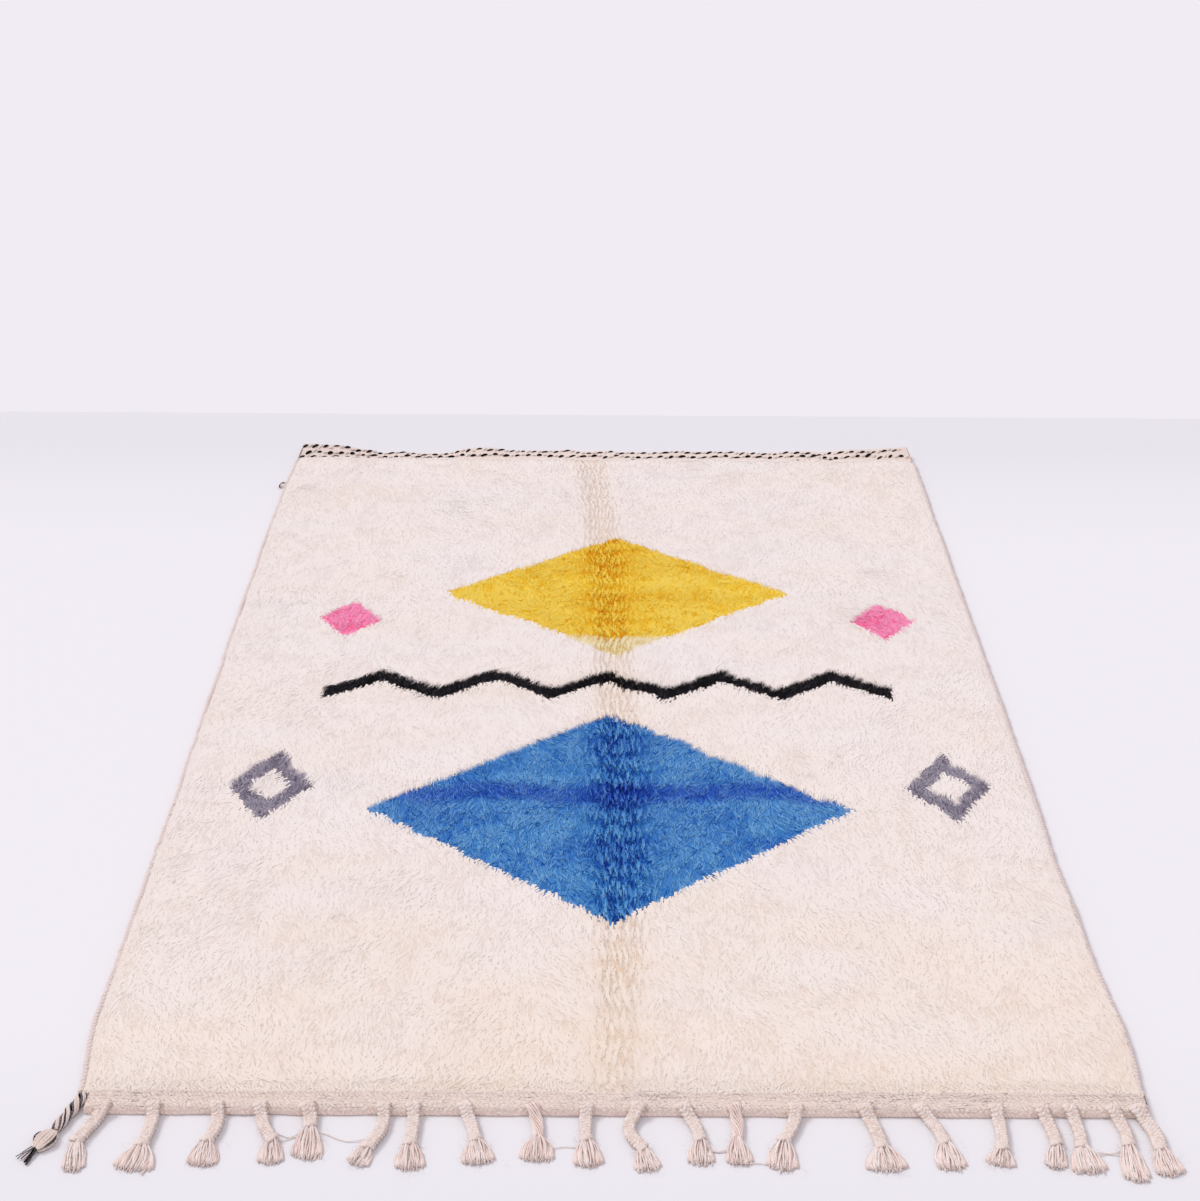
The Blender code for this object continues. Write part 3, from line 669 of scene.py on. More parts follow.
def groundWool():
    # the foot of the pile between the locks: the same dyed yarn, with painted shade that makes it deeper in
    # colour
    material = newMaterial("matted wool foot", 0.98)
    dye = addNode(material, "Attribute", attribute_name="dye")
    place = addNode(material, "TexCoord", output="Object")
    # the knots stand about 6 mm apart, as the locks do
    knots = addNode(material, "TexNoise", {"Vector": place, "Scale": 1 / 0.006})
    shade = addNode(material, "MapRange", {"Value": knots, "To Min": 1.45, "To Max": 1.1})
    colour = addNode(material, "Gamma", {"Color": dye, "Gamma": shade})
    bump = addNode(material, "Bump", {"Height": knots, "Distance": 0.002})
    return finishMaterial(material, colour, bump)


def buildPile():
    ground, locks, wool = knottedGround(), layLocks(), dyedWool()
    order = np.argsort(locks["spots"][:, 0, 1], kind="stable")
    tufts = [growLocks(f"pileLocks{number + 1}", locks, chosen, wool)
             for number, chosen in enumerate(np.array_split(order, pile["pieces"]))]
    print("pile:", len(order), "locks")
    return ground, tufts


def smoothPath(points, count):
    # a soft curve through a few places
    points = np.asarray(points, float)
    padded = np.vstack([2 * points[0] - points[1], points, 2 * points[-1] - points[-2]])
    where = np.linspace(0.0, len(points) - 1.000001, count)
    part = where.astype(int)
    t = (where - part)[:, None]
    a, b, c, d = (padded[part + shift] for shift in range(4))
    return b + 0.5 * t * (c - a + t * (2 * a - 5 * b + 4 * c - d + t * (3 * b - a - 3 * c + d)))


def tubeFaces(rings, sides):
    # triangles round a tube of rings, closed at both ends
    ring, side = np.meshgrid(np.arange(rings - 1), np.arange(sides), indexing="ij")
    a = ring * sides + side
    b = ring * sides + (side + 1) % sides
    walls = np.stack([a, a + sides, b + sides, a, b + sides, b], -1).reshape(-1, 3)
    fan = np.arange(1, sides - 1)
    start = np.stack([fan * 0, fan, fan + 1], 1)
    end = np.stack([fan * 0, fan + 1, fan], 1) + (rings - 1) * sides
    return np.concatenate([walls, start, end])


def tubeRings(path, reach, angle, guide=upward, flat=1.0):
    # a ring of points round each place of a path, reach away from it at each angle
    ahead = unit(np.gradient(path, axis=0))
    side = unit(np.cross(ahead, guide))
    up = np.cross(side, ahead)
    spoke = np.cos(angle)[:, :, None] * side[:, None] + flat * np.sin(angle)[:, :, None] * up[:, None]
    return path[:, None] + reach[:, :, None] * spoke


def yarnTube(path, radius, colour, sides=5, guide=upward, flat=1.0, pitch=0.011, lobes=0.15):
    # one two-ply yarn along a path: its two lobes wind round it once in each pitch
    angle = np.linspace(0.0, 2 * math.pi, sides, endpoint=False)[None]
    # ply is -1 in the hollow between the plies and 1 on their crowns; the materials paint shade by it
    ply = np.cos(2 * angle - 4 * math.pi * lengthAlong(path)[:, None] / pitch)
    reach = np.broadcast_to(radius, len(path))[:, None] * (1.0 + lobes * ply)
    rings = tubeRings(path, reach, angle, guide, flat)
    return {"points": rings.reshape(-1, 3), "faces": tubeFaces(len(path), sides),
            "dye": np.tile(linear(colour), (ply.size, 1)), "ply": ply.ravel()}


def joinYarns(name, yarns):
    counts = np.cumsum([0] + [len(yarn["points"]) for yarn in yarns])
    faces = np.concatenate([yarn["faces"] + start for yarn, start in zip(yarns, counts)])
    mesh = meshFromArrays(name, np.concatenate([yarn["points"] for yarn in yarns]), faces)
    for attribute in ("dye", "ply"):
        setAttribute(mesh, attribute, np.concatenate([yarn[attribute] for yarn in yarns]))
    return mesh


def pliedWool(name, grooveShade, fibre):
    # two-ply wool yarn: matt, with painted shade that makes it darker and warmer in the hollow between its
    # plies, and with fine fibres across it
    material = newMaterial(name, 0.95)
    dye = addNode(material, "Attribute", attribute_name="dye")
    ply = addNode(material, "Attribute", output="Fac", attribute_name="ply")
    place = addNode(material, "TexCoord", output="Object")
    # wool fibres are about 0.03 mm thick, too fine to show, so they are drawn about a millimetre thick
    fibres = addNode(material, "TexNoise", {"Vector": place, "Scale": 1 / fibre})
    power = addNode(material, "MapRange", {"Value": ply, "From Min": -1.0, "From Max": 1.0,
                                           "To Min": 1.0 + grooveShade, "To Max": 1.0})
    spread = addNode(material, "MapRange", {"Value": fibres, "From Min": 0.3, "From Max": 0.7,
                                            "To Min": 0.25, "To Max": -0.15})
    total = addNode(material, "Math", {0: power, 1: spread}, operation="ADD")
    colour = addNode(material, "Gamma", {"Color": dye, "Gamma": total})
    bump = addNode(material, "Bump", {"Height": fibres, "Strength": 0.6, "Distance": fibre * 0.5})
    return finishMaterial(material, colour, bump)


band = {
    "left": -0.812, "right": 0.8235, "gap": -0.0030, "columns": 1000, "perRow": 3, "rowHeight": 0.0060,
    # its section from the pile to the floor: y, z
    "section": ((0.0, 0.0130), (-0.005, 0.0122), (-0.012, 0.0102), (-0.021, 0.0102), (-0.029, 0.0118),
                (-0.0345, 0.0114), (-0.0385, 0.0094), (-0.0410, 0.0058), (-0.0422, 0.0003)),
    # how it lifts off the floor, from where on over what length, and how it sways
    "lift": 0.0022, "liftSize": 0.13, "liftFrom": 0.3, "liftLong": 0.03, "sway": 0.0020, "swaySize": 0.05,
    "underLevel": 0.0002, "innerLong": 0.014,
    # how high a pebble stands and how long it is, how it slants, and how rows and pebbles wander
    "pebble": 0.0025, "pebbleLong": 0.0074, "slant": 0.9, "rowWander": (0.45, 0.013, 51),
    "drift": (0.6, 0.009, 52), "rough": (0.0006, 0.0045, 53),
    # under: the rolled underside, painted lighter than the wool as painted light on its shaded face
    "wool": "#E5D6CC", "fleck": "#8F868E", "under": "#F4E2D8", "underFrom": 0.78}


def bandSection():
    # the weft rows' stations over the section: their places, the way out of the weave, and the length so far
    top = smoothPath(band["section"], 400)
    length = lengthAlong(top)
    rows = int(length[-1] / band["rowHeight"])
    where = np.linspace(0.0, length[-1], rows * band["perRow"] + 1)
    top = np.stack([np.interp(where, length, top[:, axis]) for axis in (0, 1)], 1)
    ahead = unit(np.gradient(top, axis=0))
    return top, np.stack([ahead[:, 1], -ahead[:, 0]], 1), where, where / length[-1] * rows


def bandPebbles(x, row):
    # how far the weft stands out where it passes over the warp, and the same from -1 to 1 for its painted
    # shade
    spots = np.repeat(x, len(row)), np.tile(row * band["rowHeight"], len(x))
    rowHere = row + layeredNoise(spots[0] * 0.6, spots[1], [band["rowWander"]]).reshape(len(x), -1)
    across = np.abs(np.sin(math.pi * rowHere)) ** 0.5
    cell = np.floor(rowHere)
    drift = layeredNoise(*spots, [band["drift"]]).reshape(len(x), -1)
    drift += band["slant"] * (rowHere - cell - 0.5) * np.where(cell % 2 == 0, 1.0, -1.0)
    weave = np.abs(np.sin(math.pi * (x[:, None] / band["pebbleLong"] + 0.5 * cell + drift))) ** 0.7
    rise = band["pebble"] * ((0.35 + 0.65 * across) * (0.20 + 0.80 * weave) - 0.45)
    rise += layeredNoise(*spots, [band["rough"]]).reshape(len(x), -1)
    rise[:, 0] = rise[:, -1] = 0.0
    return rise, (0.4 + 0.6 * across) * weave * 2 - 1


def nearBand():
    # a narrow weft-faced strip with pebbles, rolled along its free edge
    x = np.linspace(band["left"], band["right"], band["columns"])
    top, outward, where, row = bandSection()
    rise, raised = bandPebbles(x, row)
    # it lifts off the floor and sways a little along its free edge
    lift = band["lift"] * np.maximum(waveNoise(x, x * 0, band["liftSize"], 2.0), 0.0)
    sway = band["sway"] * waveNoise(x, x * 0, band["swaySize"], 5.0)
    y = top[:, 0] + rise * outward[:, 0] + sway[:, None] * (where / where[-1])
    lifted = np.clip(where / band["liftLong"] - band["liftFrom"], 0.0, 1.0)
    z = top[:, 1] + rise * outward[:, 1] + lift[:, None] * lifted
    # its inner edge follows the pile's lumps, so that no gap shows between them
    lumps = pileTop(x, np.full(len(x), -farEnd)) - rug["pileHeight"]
    z += lumps[:, None] * np.clip(1.0 - where / band["innerLong"], 0.0, 1.0)
    points = np.stack([np.broadcast_to(x[:, None], y.shape), y - farEnd - band["gap"], z], -1)
    back = points[:, :1].copy()
    back[:, :, 2] = band["underLevel"]
    points = np.concatenate([points, back], axis=1)
    mesh = meshFromArrays("nearBand", points.reshape(-1, 3), tubeFaces(len(x), points.shape[1])[:, ::-1])
    # painted light: the rolled underside from here on takes the lighter under colour
    under = np.append(ramp(where / where[-1], band["underFrom"], 0.10), 1.0)
    setAttribute(mesh, "under", np.tile(under, len(x)))
    # painted shade: darker between the pebbles, and darkest on the hidden back
    setAttribute(mesh, "ply", np.column_stack([raised, np.full(len(x), -1.0)]))
    return addPiece("nearBand", mesh, bandWool(), "near_heading_fringe")


def bandWool():
    # undyed weft, cream and pinkish, with thin grey hairs that were spun in, and painted lighter where it
    # rolls under, as painted light on that shaded face
    material = newMaterial("weft-faced wool weave", 0.97)
    under, ply = (addNode(material, "Attribute", output="Fac", attribute_name=name)
                  for name in ("under", "ply"))
    place = addNode(material, "TexCoord", output="Object")
    # the hairs run 16 mm along the weft, drawn 1.6 mm wide, and the fibres 1.2 mm: finer ones wouldn't show
    drawnOut = addNode(material, "Mapping", {"Vector": place, "Scale": (1 / 0.016, 1 / 0.0016, 1 / 0.0016)})
    hairs = addNode(material, "TexNoise", {"Vector": drawnOut, "Scale": 1.0})
    patches = addNode(material, "TexNoise", {"Vector": place, "Scale": 1 / 0.12})
    level = addNode(material, "Math", {0: patches, 1: 0.36, 2: 0.43}, operation="MULTIPLY_ADD")
    over = addNode(material, "Math", {0: hairs, 1: level}, operation="SUBTRACT")
    share = addNode(material, "MapRange", {"Value": over, "From Min": 0.0, "From Max": 0.05,
                                           "To Min": 0.0, "To Max": 0.62})
    flecked = addNode(material, "Mix", {0: share, 6: linear(band["wool"]), 7: linear(band["fleck"])},
                      output=2, data_type="RGBA")
    rolled = addNode(material, "Mix", {0: under, 6: flecked, 7: linear(band["under"])},
                     output=2, data_type="RGBA")
    fibres = addNode(material, "TexNoise", {"Vector": place, "Scale": 1 / 0.0012})
    # painted shade between the pebbles and at the back, and slightly lighter on their crowns
    power = addNode(material, "MapRange", {"Value": ply, "From Min": -1.0, "From Max": 0.6,
                                           "To Min": 2.0, "To Max": 0.85})
    colour = addNode(material, "Gamma", {"Color": rolled, "Gamma": power})
    bump = addNode(material, "Bump", {"Height": fibres, "Strength": 0.5, "Distance": 0.0006})
    return finishMaterial(material, colour, bump)


fringe = {
    # root x, bend, knot x and y, tip x and y, half the brush's width
    "tassels": (
        (-0.783, 0.002, -0.808, -1.305, -0.799, -1.372, 0.015),
        (-0.705, 0.003, -0.708, -1.312, -0.715, -1.369, 0.027),
        (-0.607, 0.006, -0.612, -1.304, -0.614, -1.359, 0.020),
        (-0.541, -0.004, -0.515, -1.301, -0.511, -1.354, 0.017),
        (-0.468, 0.002, -0.462, -1.272, -0.459, -1.346, 0.021),
        (-0.352, 0.008, -0.370, -1.316, -0.386, -1.354, 0.016),
        (-0.307, 0.002, -0.307, -1.308, -0.302, -1.365, 0.020),
        (-0.227, 0.002, -0.209, -1.299, -0.200, -1.353, 0.022),
        (-0.123, 0.003, -0.115, -1.294, -0.116, -1.346, 0.023),
        (-0.042, -0.001, -0.042, -1.298, -0.036, -1.358, 0.020),
        (0.036, -0.016, 0.043, -1.316, 0.053, -1.364, 0.018),
        (0.110, 0.004, 0.130, -1.297, 0.130, -1.352, 0.018),
        (0.186, 0.003, 0.186, -1.297, 0.188, -1.353, 0.018),
        (0.280, 0.004, 0.257, -1.299, 0.248, -1.364, 0.021),
        (0.387, 0.003, 0.403, -1.310, 0.407, -1.364, 0.028),
        (0.475, 0.004, 0.499, -1.301, 0.505, -1.361, 0.020),
        (0.588, 0.003, 0.584, -1.314, 0.574, -1.350, 0.020),
        (0.659, 0.003, 0.667, -1.304, 0.656, -1.357, 0.015),
        (0.703, 0.004, 0.704, -1.308, 0.709, -1.367, 0.024),
        (0.769, 0.005, 0.776, -1.304, 0.774, -1.386, 0.018),
        (0.808, 0.006, 0.822, -1.312, 0.829, -1.372, 0.020)),
    # by their number from the left: those that are only loosely twisted, and those that are thicker
    "loose": (8, 12), "thick": {0: 1.08, 4: 1.15, 14: 1.12, 19: 1.05, 20: 1.30},
    "seed": 61, "frontY": -1.2409, "rootPart": -0.32,
    # how it rises over the band and falls to the floor: from how far behind the front, over what length
    "rise": (0.020, 0.016), "fall": (0.006, 0.024),
    "rootHeight": 0.0046, "overBand": 0.0155, "floorHeight": 0.0062,
    # the plait, and the loose twist that two of them are
    "halfWidth": 0.0126, "halfHeight": 0.0060, "strands": 5, "strandRadius": 0.0037, "step": 0.00120,
    "period": 0.027, "slack": 1.24, "wideRoot": 0.50, "flatRoot": 0.8, "rootShare": 0.26, "drawnIn": 0.22,
    "turnSharp": 0.96, "looseStrands": 12, "looseRadius": 0.0017,
    "looseTwist": 0.22, "looseWide": 0.92, "looseHigh": 1.4,
    # how a plait's pace and width come and go
    "paceLow": 0.94, "paceHigh": 1.06, "paceSwing": 0.4, "paceSlow": 0.21,
    "wideSwing": 0.05, "widePace": 0.37,
    # the turns of yarn at the knot, and the wool's tones
    "wrapTurns": 2.3, "wrapRadius": 0.0024, "wrapLength": 0.0070, "wrapWide": 0.70, "wrapHigh": 0.78,
    "wrapAskew": 0.0022, "wrapLift": 0.0012, "wool": ("#F1E7E1", "#F3EAE5", "#EEE2DB")}

brush = {
    # the fan against its measured size, its yarns, and how its end is rounded
    "wide": 1.20, "long": 0.88, "radius": 0.0014, "step": 0.0055, "opening": 2.2, "rounded": 0.10,
    "wool": ("#F3E8E2", "#F1E2DC", "#F5ECE7", "#EEDDD7"),
    # the bed of softened yarn ends below, a little darker as painted shade: how many, how far out and down,
    # how wide at the knot, how thick
    "bedShadeWool": "#EEDDD5", "bedStrips": 7, "bedOut": 0.82, "bedLong": 0.93, "bedKnot": 0.0060,
    "bedThick": 0.17,
    # the three layers of yarns above it
    "knotHalf": 0.0072, "layersOut": (1.0, 0.92, 0.6), "layerShorter": 0.02, "layerRise": 1.55,
    "knotHeight": 0.0040, "layerHeight": 0.0034, "closing": 0.14, "wave": 0.0012, "astray": 0.0013,
    "apart": 1.85, "asideSpread": 0.05, "longSpread": 0.045,
    "thickLow": 0.88, "thickHigh": 1.15, "endThinner": 0.25,
    # tassel, how far down its brush, to the next one and how far down, sag
    "crossings": ((3, 0.10, 4, 0.30, -0.006), (3, -0.30, 4, 0.10, 0.008), (8, 0.30, 9, 0.10, 0.005),
                  (11, 0.25, 12, 0.35, 0.003), (11, 0.45, 12, 0.45, -0.004), (12, 0.75, 13, 0.60, 0.005),
                  (18, 0.15, 19, 0.05, 0.006), (18, 0.35, 19, 0.20, -0.003), (4, 0.0, 5, -0.50, 0.012)),
    "crossingRadius": 0.0009, "crossingWave": 0.0018}

fuzz = {
    # how many at each tassel, their size, and how far off the plait or brush they start
    "each": 52, "radius": 0.00030, "lengthLow": 0.006, "lengthHigh": 0.016, "arch": 0.004, "curl": 1.3,
    "offPlait": 0.0042, "offBrush": 0.55, "offAlong": 0.003, "offHeight": 0.002, "lowest": 0.0004,
    "wool": "#F4EBE5"}


def overFloor(start, end, along, across, z):
    # a path beside the line from start to end: its places along and across that line, and its heights
    way = np.subtract(end, start)
    ahead = way / np.linalg.norm(way)
    flat = start + np.outer(along, ahead) + np.outer(across, (ahead[1], -ahead[0]))
    return np.column_stack([flat, z])


def tasselLine(tassel, count):
    # the middle of a tassel: from its root on the band, over the rolled edge, down to the floor and its knot
    rootX, bend, knotX, knotY = tassel[:4]
    front = fringe["frontY"]
    part = np.linspace(fringe["rootPart"], 1.0, count)
    x = rootX + (knotX - rootX) * part + bend * np.sin(math.pi * np.clip(part, -0.2, 1.0))
    y = front + (knotY - front) * part
    rise, fall = (ease(np.clip((front + behind - y) / length, 0.0, 1.0))
                  for behind, length in (fringe["rise"], fringe["fall"]))
    z = fringe["rootHeight"] + (fringe["overBand"] - fringe["rootHeight"]) * rise
    z += (fringe["floorHeight"] - z) * fall
    return np.stack([x, y, z], 1)


def plaitStrands(number, random):
    # five strands that cross over and under each other, or many thin ones laid round where the plait is loose
    tassel, loose = fringe["tassels"][number], number in fringe["loose"]
    length = math.hypot(tassel[0] - tassel[2], fringe["frontY"] - tassel[3]) * fringe["slack"]
    middle = tasselLine(tassel, int(length / fringe["step"]))
    ahead = unit(np.gradient(middle, axis=0))
    side = np.cross(ahead, upward)
    up = np.cross(side, ahead)
    along = np.linspace(0.0, length, len(middle)) * 2 * math.pi / fringe["period"]
    pace = random.uniform(fringe["paceLow"], fringe["paceHigh"])
    swing = np.sin(along * fringe["paceSlow"] + random.uniform(0, 6))
    along = along * pace + fringe["paceSwing"] * swing
    atRoot = np.clip(1.0 - np.arange(len(middle)) / (fringe["rootShare"] * len(middle)), 0.0, 1.0)
    swing = fringe["wideSwing"] * np.sin(along * fringe["widePace"])
    halfWidth = fringe["halfWidth"] * (1.0 + swing + fringe["wideRoot"] * atRoot)
    halfWidth = (halfWidth - fringe["strandRadius"]) * fringe["thick"].get(number, 1.0)
    halfWidth *= 1.0 - fringe["drawnIn"] * np.linspace(0.0, 1.0, len(middle)) ** 6
    halfHeight = (fringe["halfHeight"] - fringe["strandRadius"]) * (1.0 - fringe["flatRoot"] * atRoot)
    count = fringe["looseStrands"] if loose else fringe["strands"]
    radius = fringe["looseRadius"] if loose else fringe["strandRadius"]
    wool = brush["wool"] if loose else fringe["wool"]
    strands = []
    for strand in range(count):
        turned = 2 * math.pi * strand / count
        if loose:
            phase = fringe["looseTwist"] * along + turned
            across, over = np.cos(phase) * fringe["looseWide"], np.sin(phase) * fringe["looseHigh"]
        else:
            across = np.arcsin(np.sin(along + turned) * fringe["turnSharp"]) * 2 / math.pi
            over = np.sin((count - 1) * (along + turned))
        path = middle + side * (across * halfWidth)[:, None] + up * (over * halfHeight)[:, None]
        colour = wool[random.integers(len(wool))]
        strands.append(yarnTube(path[::2] if loose else path, radius, colour, pitch=0.008))
    return strands


def knotWrap(tassel):
    # the knot at the plait's end, made as turns of yarn round it, a little askew
    middle = tasselLine(tassel, 40)
    ahead = unit((middle[-1] - middle[-6]) * (1.0, 1.0, 0.0))
    turn = np.linspace(0.0, fringe["wrapTurns"] * 2 * math.pi, 54)
    along = (turn / turn[-1] - 0.5) * fringe["wrapLength"] + fringe["wrapAskew"] * np.sin(turn + 0.7)
    across = np.cos(turn) * fringe["halfWidth"] * fringe["wrapWide"]
    path = middle[-1] + np.outer(along, ahead) + np.outer(across, np.cross(ahead, upward))
    path[:, 2] += fringe["wrapLift"] + np.sin(turn) * fringe["halfHeight"] * fringe["wrapHigh"]
    return yarnTube(path, fringe["wrapRadius"], fringe["wool"][0], sides=6, guide=ahead, pitch=0.009)


def brushBed(knot, tip, reach, half):
    # softened yarn ends that fill the fan from below, a little darker as painted shade between the yarns
    strips = []
    for place in np.linspace(-brush["bedOut"], brush["bedOut"], brush["bedStrips"]):
        s = np.linspace(0.0, brush["bedLong"] - brush["rounded"] * place ** 2, 8)
        opened = 1 - (1 - s) ** brush["opening"]
        spread = place * (brush["bedKnot"] + (half - brush["bedKnot"]) * opened)
        path = overFloor(knot, tip, s * reach, spread, 0.0022 + 0.0016 * (1 - s))
        thick = half * brush["bedThick"] * (0.5 + 0.5 * np.sqrt(s))
        strips.append(yarnTube(path, thick, brush["bedShadeWool"], sides=6, flat=0.42, lobes=0.0))
    return strips


def brushYarns(tassel, random):
    # the loose yarns below the knot: a fan in three layers, rounded at its end, each yarn a little astray
    knot, tip = tassel[2:4], tassel[4:6]
    reach, half, radius = brush["long"] * math.dist(knot, tip), brush["wide"] * tassel[6], brush["radius"]
    yarns = brushBed(knot, tip, reach, half)
    lower = int(half * 2 / (radius * brush["apart"]))
    for layer, count in enumerate((lower, lower - 2, max(lower // 2, 3))):
        rest = radius * (1.02 + brush["layerRise"] * layer)
        high = brush["knotHeight"] + brush["layerHeight"] * layer
        for number in range(count):
            place = ((number + 0.5) / count * 2 - 1) * brush["layersOut"][layer]
            place += random.normal(0, brush["asideSpread"])
            shorter = brush["rounded"] * place ** 2 - random.normal(0, brush["longSpread"])
            shorter += brush["layerShorter"] * layer
            length = reach * (1.0 - shorter)
            s = np.linspace(0.0, 1.0, max(int(length / brush["step"]), 6))
            opened = 1 - (1 - s) ** brush["opening"]
            spread = place * (brush["knotHalf"] + (half - brush["knotHalf"] - radius) * opened)
            spread *= 1 - brush["closing"] * s ** 3
            spread += brush["wave"] * np.sin(s * random.uniform(4, 9) + random.uniform(0, 6)) * s
            spread += random.normal(0, brush["astray"]) * s
            z = rest + (high - rest) * (1 - s) ** 1.6 + 0.0008 * layer * np.sin(s * 5 + number)
            colour = brush["wool"][random.integers(len(brush["wool"]))]
            thick = radius * random.uniform(brush["thickLow"], brush["thickHigh"])
            thick = thick * (1.0 - brush["endThinner"] * ramp(s, 0.9, 0.1))
            path = overFloor(knot, tip, s * length, spread, np.maximum(z, thick))
            yarns.append(yarnTube(path, thick, colour, sides=4, pitch=0.009))
    return yarns


def strayFibres(random):
    # fine hairs that stand off the plaits, the brushes and the band's edge
    s = np.linspace(0.0, 1.0, 5)
    fibres = []
    for tassel in fringe["tassels"]:
        below = np.column_stack([np.linspace(tassel[2:4], tassel[4:6], 24), np.full(24, 0.004)])
        line = np.vstack([tasselLine(tassel, 40)[::2], below])
        for _ in range(fuzz["each"]):
            place = random.integers(5, len(line) - 3)
            wide = fuzz["offPlait"] if place < 20 else fuzz["offBrush"] * tassel[6]
            start = line[place] + random.normal(0, 1.0, 3) * (wide, fuzz["offAlong"], fuzz["offHeight"])
            angle = random.uniform(0, 2 * math.pi) + random.normal(0, fuzz["curl"]) * s
            reach = random.uniform(fuzz["lengthLow"], fuzz["lengthHigh"]) * s
            arch = fuzz["arch"] * np.sin(math.pi * s) - 0.3 * s * start[2]
            path = start + np.column_stack([np.cos(angle) * reach, np.sin(angle) * reach, arch])
            path[:, 2] = np.maximum(path[:, 2], fuzz["lowest"])
            fibres.append(yarnTube(path, fuzz["radius"] * (1.1 - 0.7 * s), fuzz["wool"], sides=3, lobes=0.0))
    return fibres


def brushPlace(number, down):
    # a place in the middle of a brush, from 0 at its knot to 1 at its tip
    knot, tip = np.reshape(fringe["tassels"][number][2:6], (2, 2))
    return knot + down * (tip - knot)


def crossingYarns(random):
    # thin loose yarns that lie from one tassel to the next
    s = np.linspace(0.0, 1.0, 16)
    yarns = []
    for first, downFirst, second, downSecond, sag in brush["crossings"]:
        start, end = brushPlace(first, downFirst), brushPlace(second, downSecond)
        x, y = (start + np.outer(s, end - start)).T
        wave = brush["crossingWave"] * np.sin(11 * s + random.uniform(0, 6))
        y = y - sag * np.sin(math.pi * s) - wave
        path = np.stack([x, y, 0.0014 + 0.0030 * np.abs(2 * s - 1) ** 3], 1)
        yarns.append(yarnTube(path, brush["crossingRadius"], brush["wool"][0], sides=4))
    return yarns


def buildFringe():
    random = np.random.default_rng(fringe["seed"])
    plaitWool = pliedWool("plaited warp yarn", 1.0, 0.0013)
    looseWool = pliedWool("loose warp yarn", 0.35, 0.0011)
    plaits, brushes = [], []
    for number, tassel in enumerate(fringe["tassels"]):
        plaits += plaitStrands(number, random)
        if number not in fringe["loose"]:
            plaits.append(knotWrap(tassel))
        brushes += brushYarns(tassel, random)
    brushes += crossingYarns(random)
    strip = nearBand()
    made = (("plaits", plaits, plaitWool), ("brushes", brushes, looseWool),
            ("strayFibres", strayFibres(random), looseWool))
    pieces = [addPiece(name, joinYarns(name, yarns), wool, "near_heading_fringe")
              for name, yarns, wool in made]
    print("fringe:", len(plaits), "strands,", len(brushes), "loose yarns")
    return strip, pieces


heading = {
    "depth": 0.064, "thickness": 0.0040, "gap": 0.0004, "columns": 480, "stations": 22, "atPile": 0.0008,
    "pastLeft": 0.006, "pastRight": 0.004, "rib": 0.00035, "ribShade": 0.70,
    # x, how high the free edge's underside stands there, how far it shifts
    "edge": ((-0.826, 0.0190, 0.004), (-0.720, 0.0170, 0.0), (-0.635, 0.0090, -0.008),
             (-0.600, 0.0012, -0.014), (-0.450, 0.0006, -0.010), (-0.345, 0.0110, 0.003),
             (-0.240, 0.0020, 0.0), (-0.100, 0.0040, 0.002), (0.050, 0.0010, -0.002), (0.250, 0.0030, 0.001),
             (0.430, 0.0008, 0.0), (0.560, 0.0040, 0.002), (0.680, 0.0110, 0.003), (0.822, 0.0200, 0.004)),
    "waves": 0.0026, "waveSize": 0.060, "endTaper": 0.012,
    # how far the free corners draw in, where they are, and over what length
    "drawIn": 0.010, "cornerLeft": -0.823, "cornerRight": 0.821, "cornerReach": 0.03,
    "wool": "#ECDFD7", "black": "#1E1B20"}

stitch = {
    # each row's share of the depth, and how bold it is
    "seed": 71, "rows": ((0.30, 0.75), (0.56, 1.15), (0.88, 0.85)), "inset": 0.004,
    "pitch": 0.0295, "half": 0.0086, "width": 0.0036, "height": 0.0022, "ivoryShorter": 0.72,
    # left of here the heading curls up and shows all its rows
    "curlsUntil": -0.62, "coveredSize": 0.11, "coveredBelow": 0.25,
    "slant": 0.055, "slantSpread": 0.030, "astray": 0.032, "sway": 0.07, "swaySize": 0.05,
    # how stitches differ in length and thickness, how deep their ends sink, and those left of here are bolder
    "longLow": 0.62, "longHigh": 1.25, "thickLow": 0.65, "thickHigh": 1.25, "endThick": 0.30, "sunk": 0.35,
    "boldUntil": -0.60, "bolder": 1.25}


def headingPlace(x, s, z=0.0):
    # a place on the far heading: x, s from 0 at the pile to 1 at the free edge, z above the top
    stations = np.array(heading["edge"])
    part = np.clip(np.interp(x, stations[:, 0], np.arange(len(stations))), 0, len(stations) - 1.000001)
    low = part.astype(int)
    t = ease(part - low)
    lift, shift = (stations[low, axis] * (1 - t) + stations[low + 1, axis] * t for axis in (1, 2))
    lift = lift + heading["waves"] * (1.0 + softNoise(x, x * 0.0, heading["waveSize"], 72))
    y = farEnd + heading["gap"] + s * (heading["depth"] + shift)
    atLeft = np.exp(-(x - heading["cornerLeft"]) / heading["cornerReach"])
    atRight = np.exp((x - heading["cornerRight"]) / heading["cornerReach"])
    x = x + heading["drawIn"] * s * s * (atLeft - atRight)
    height = heading["atPile"] * (1 - s) + lift * s ** 1.6 + heading["thickness"] + z
    return np.stack(np.broadcast_arrays(x, y, height), -1)


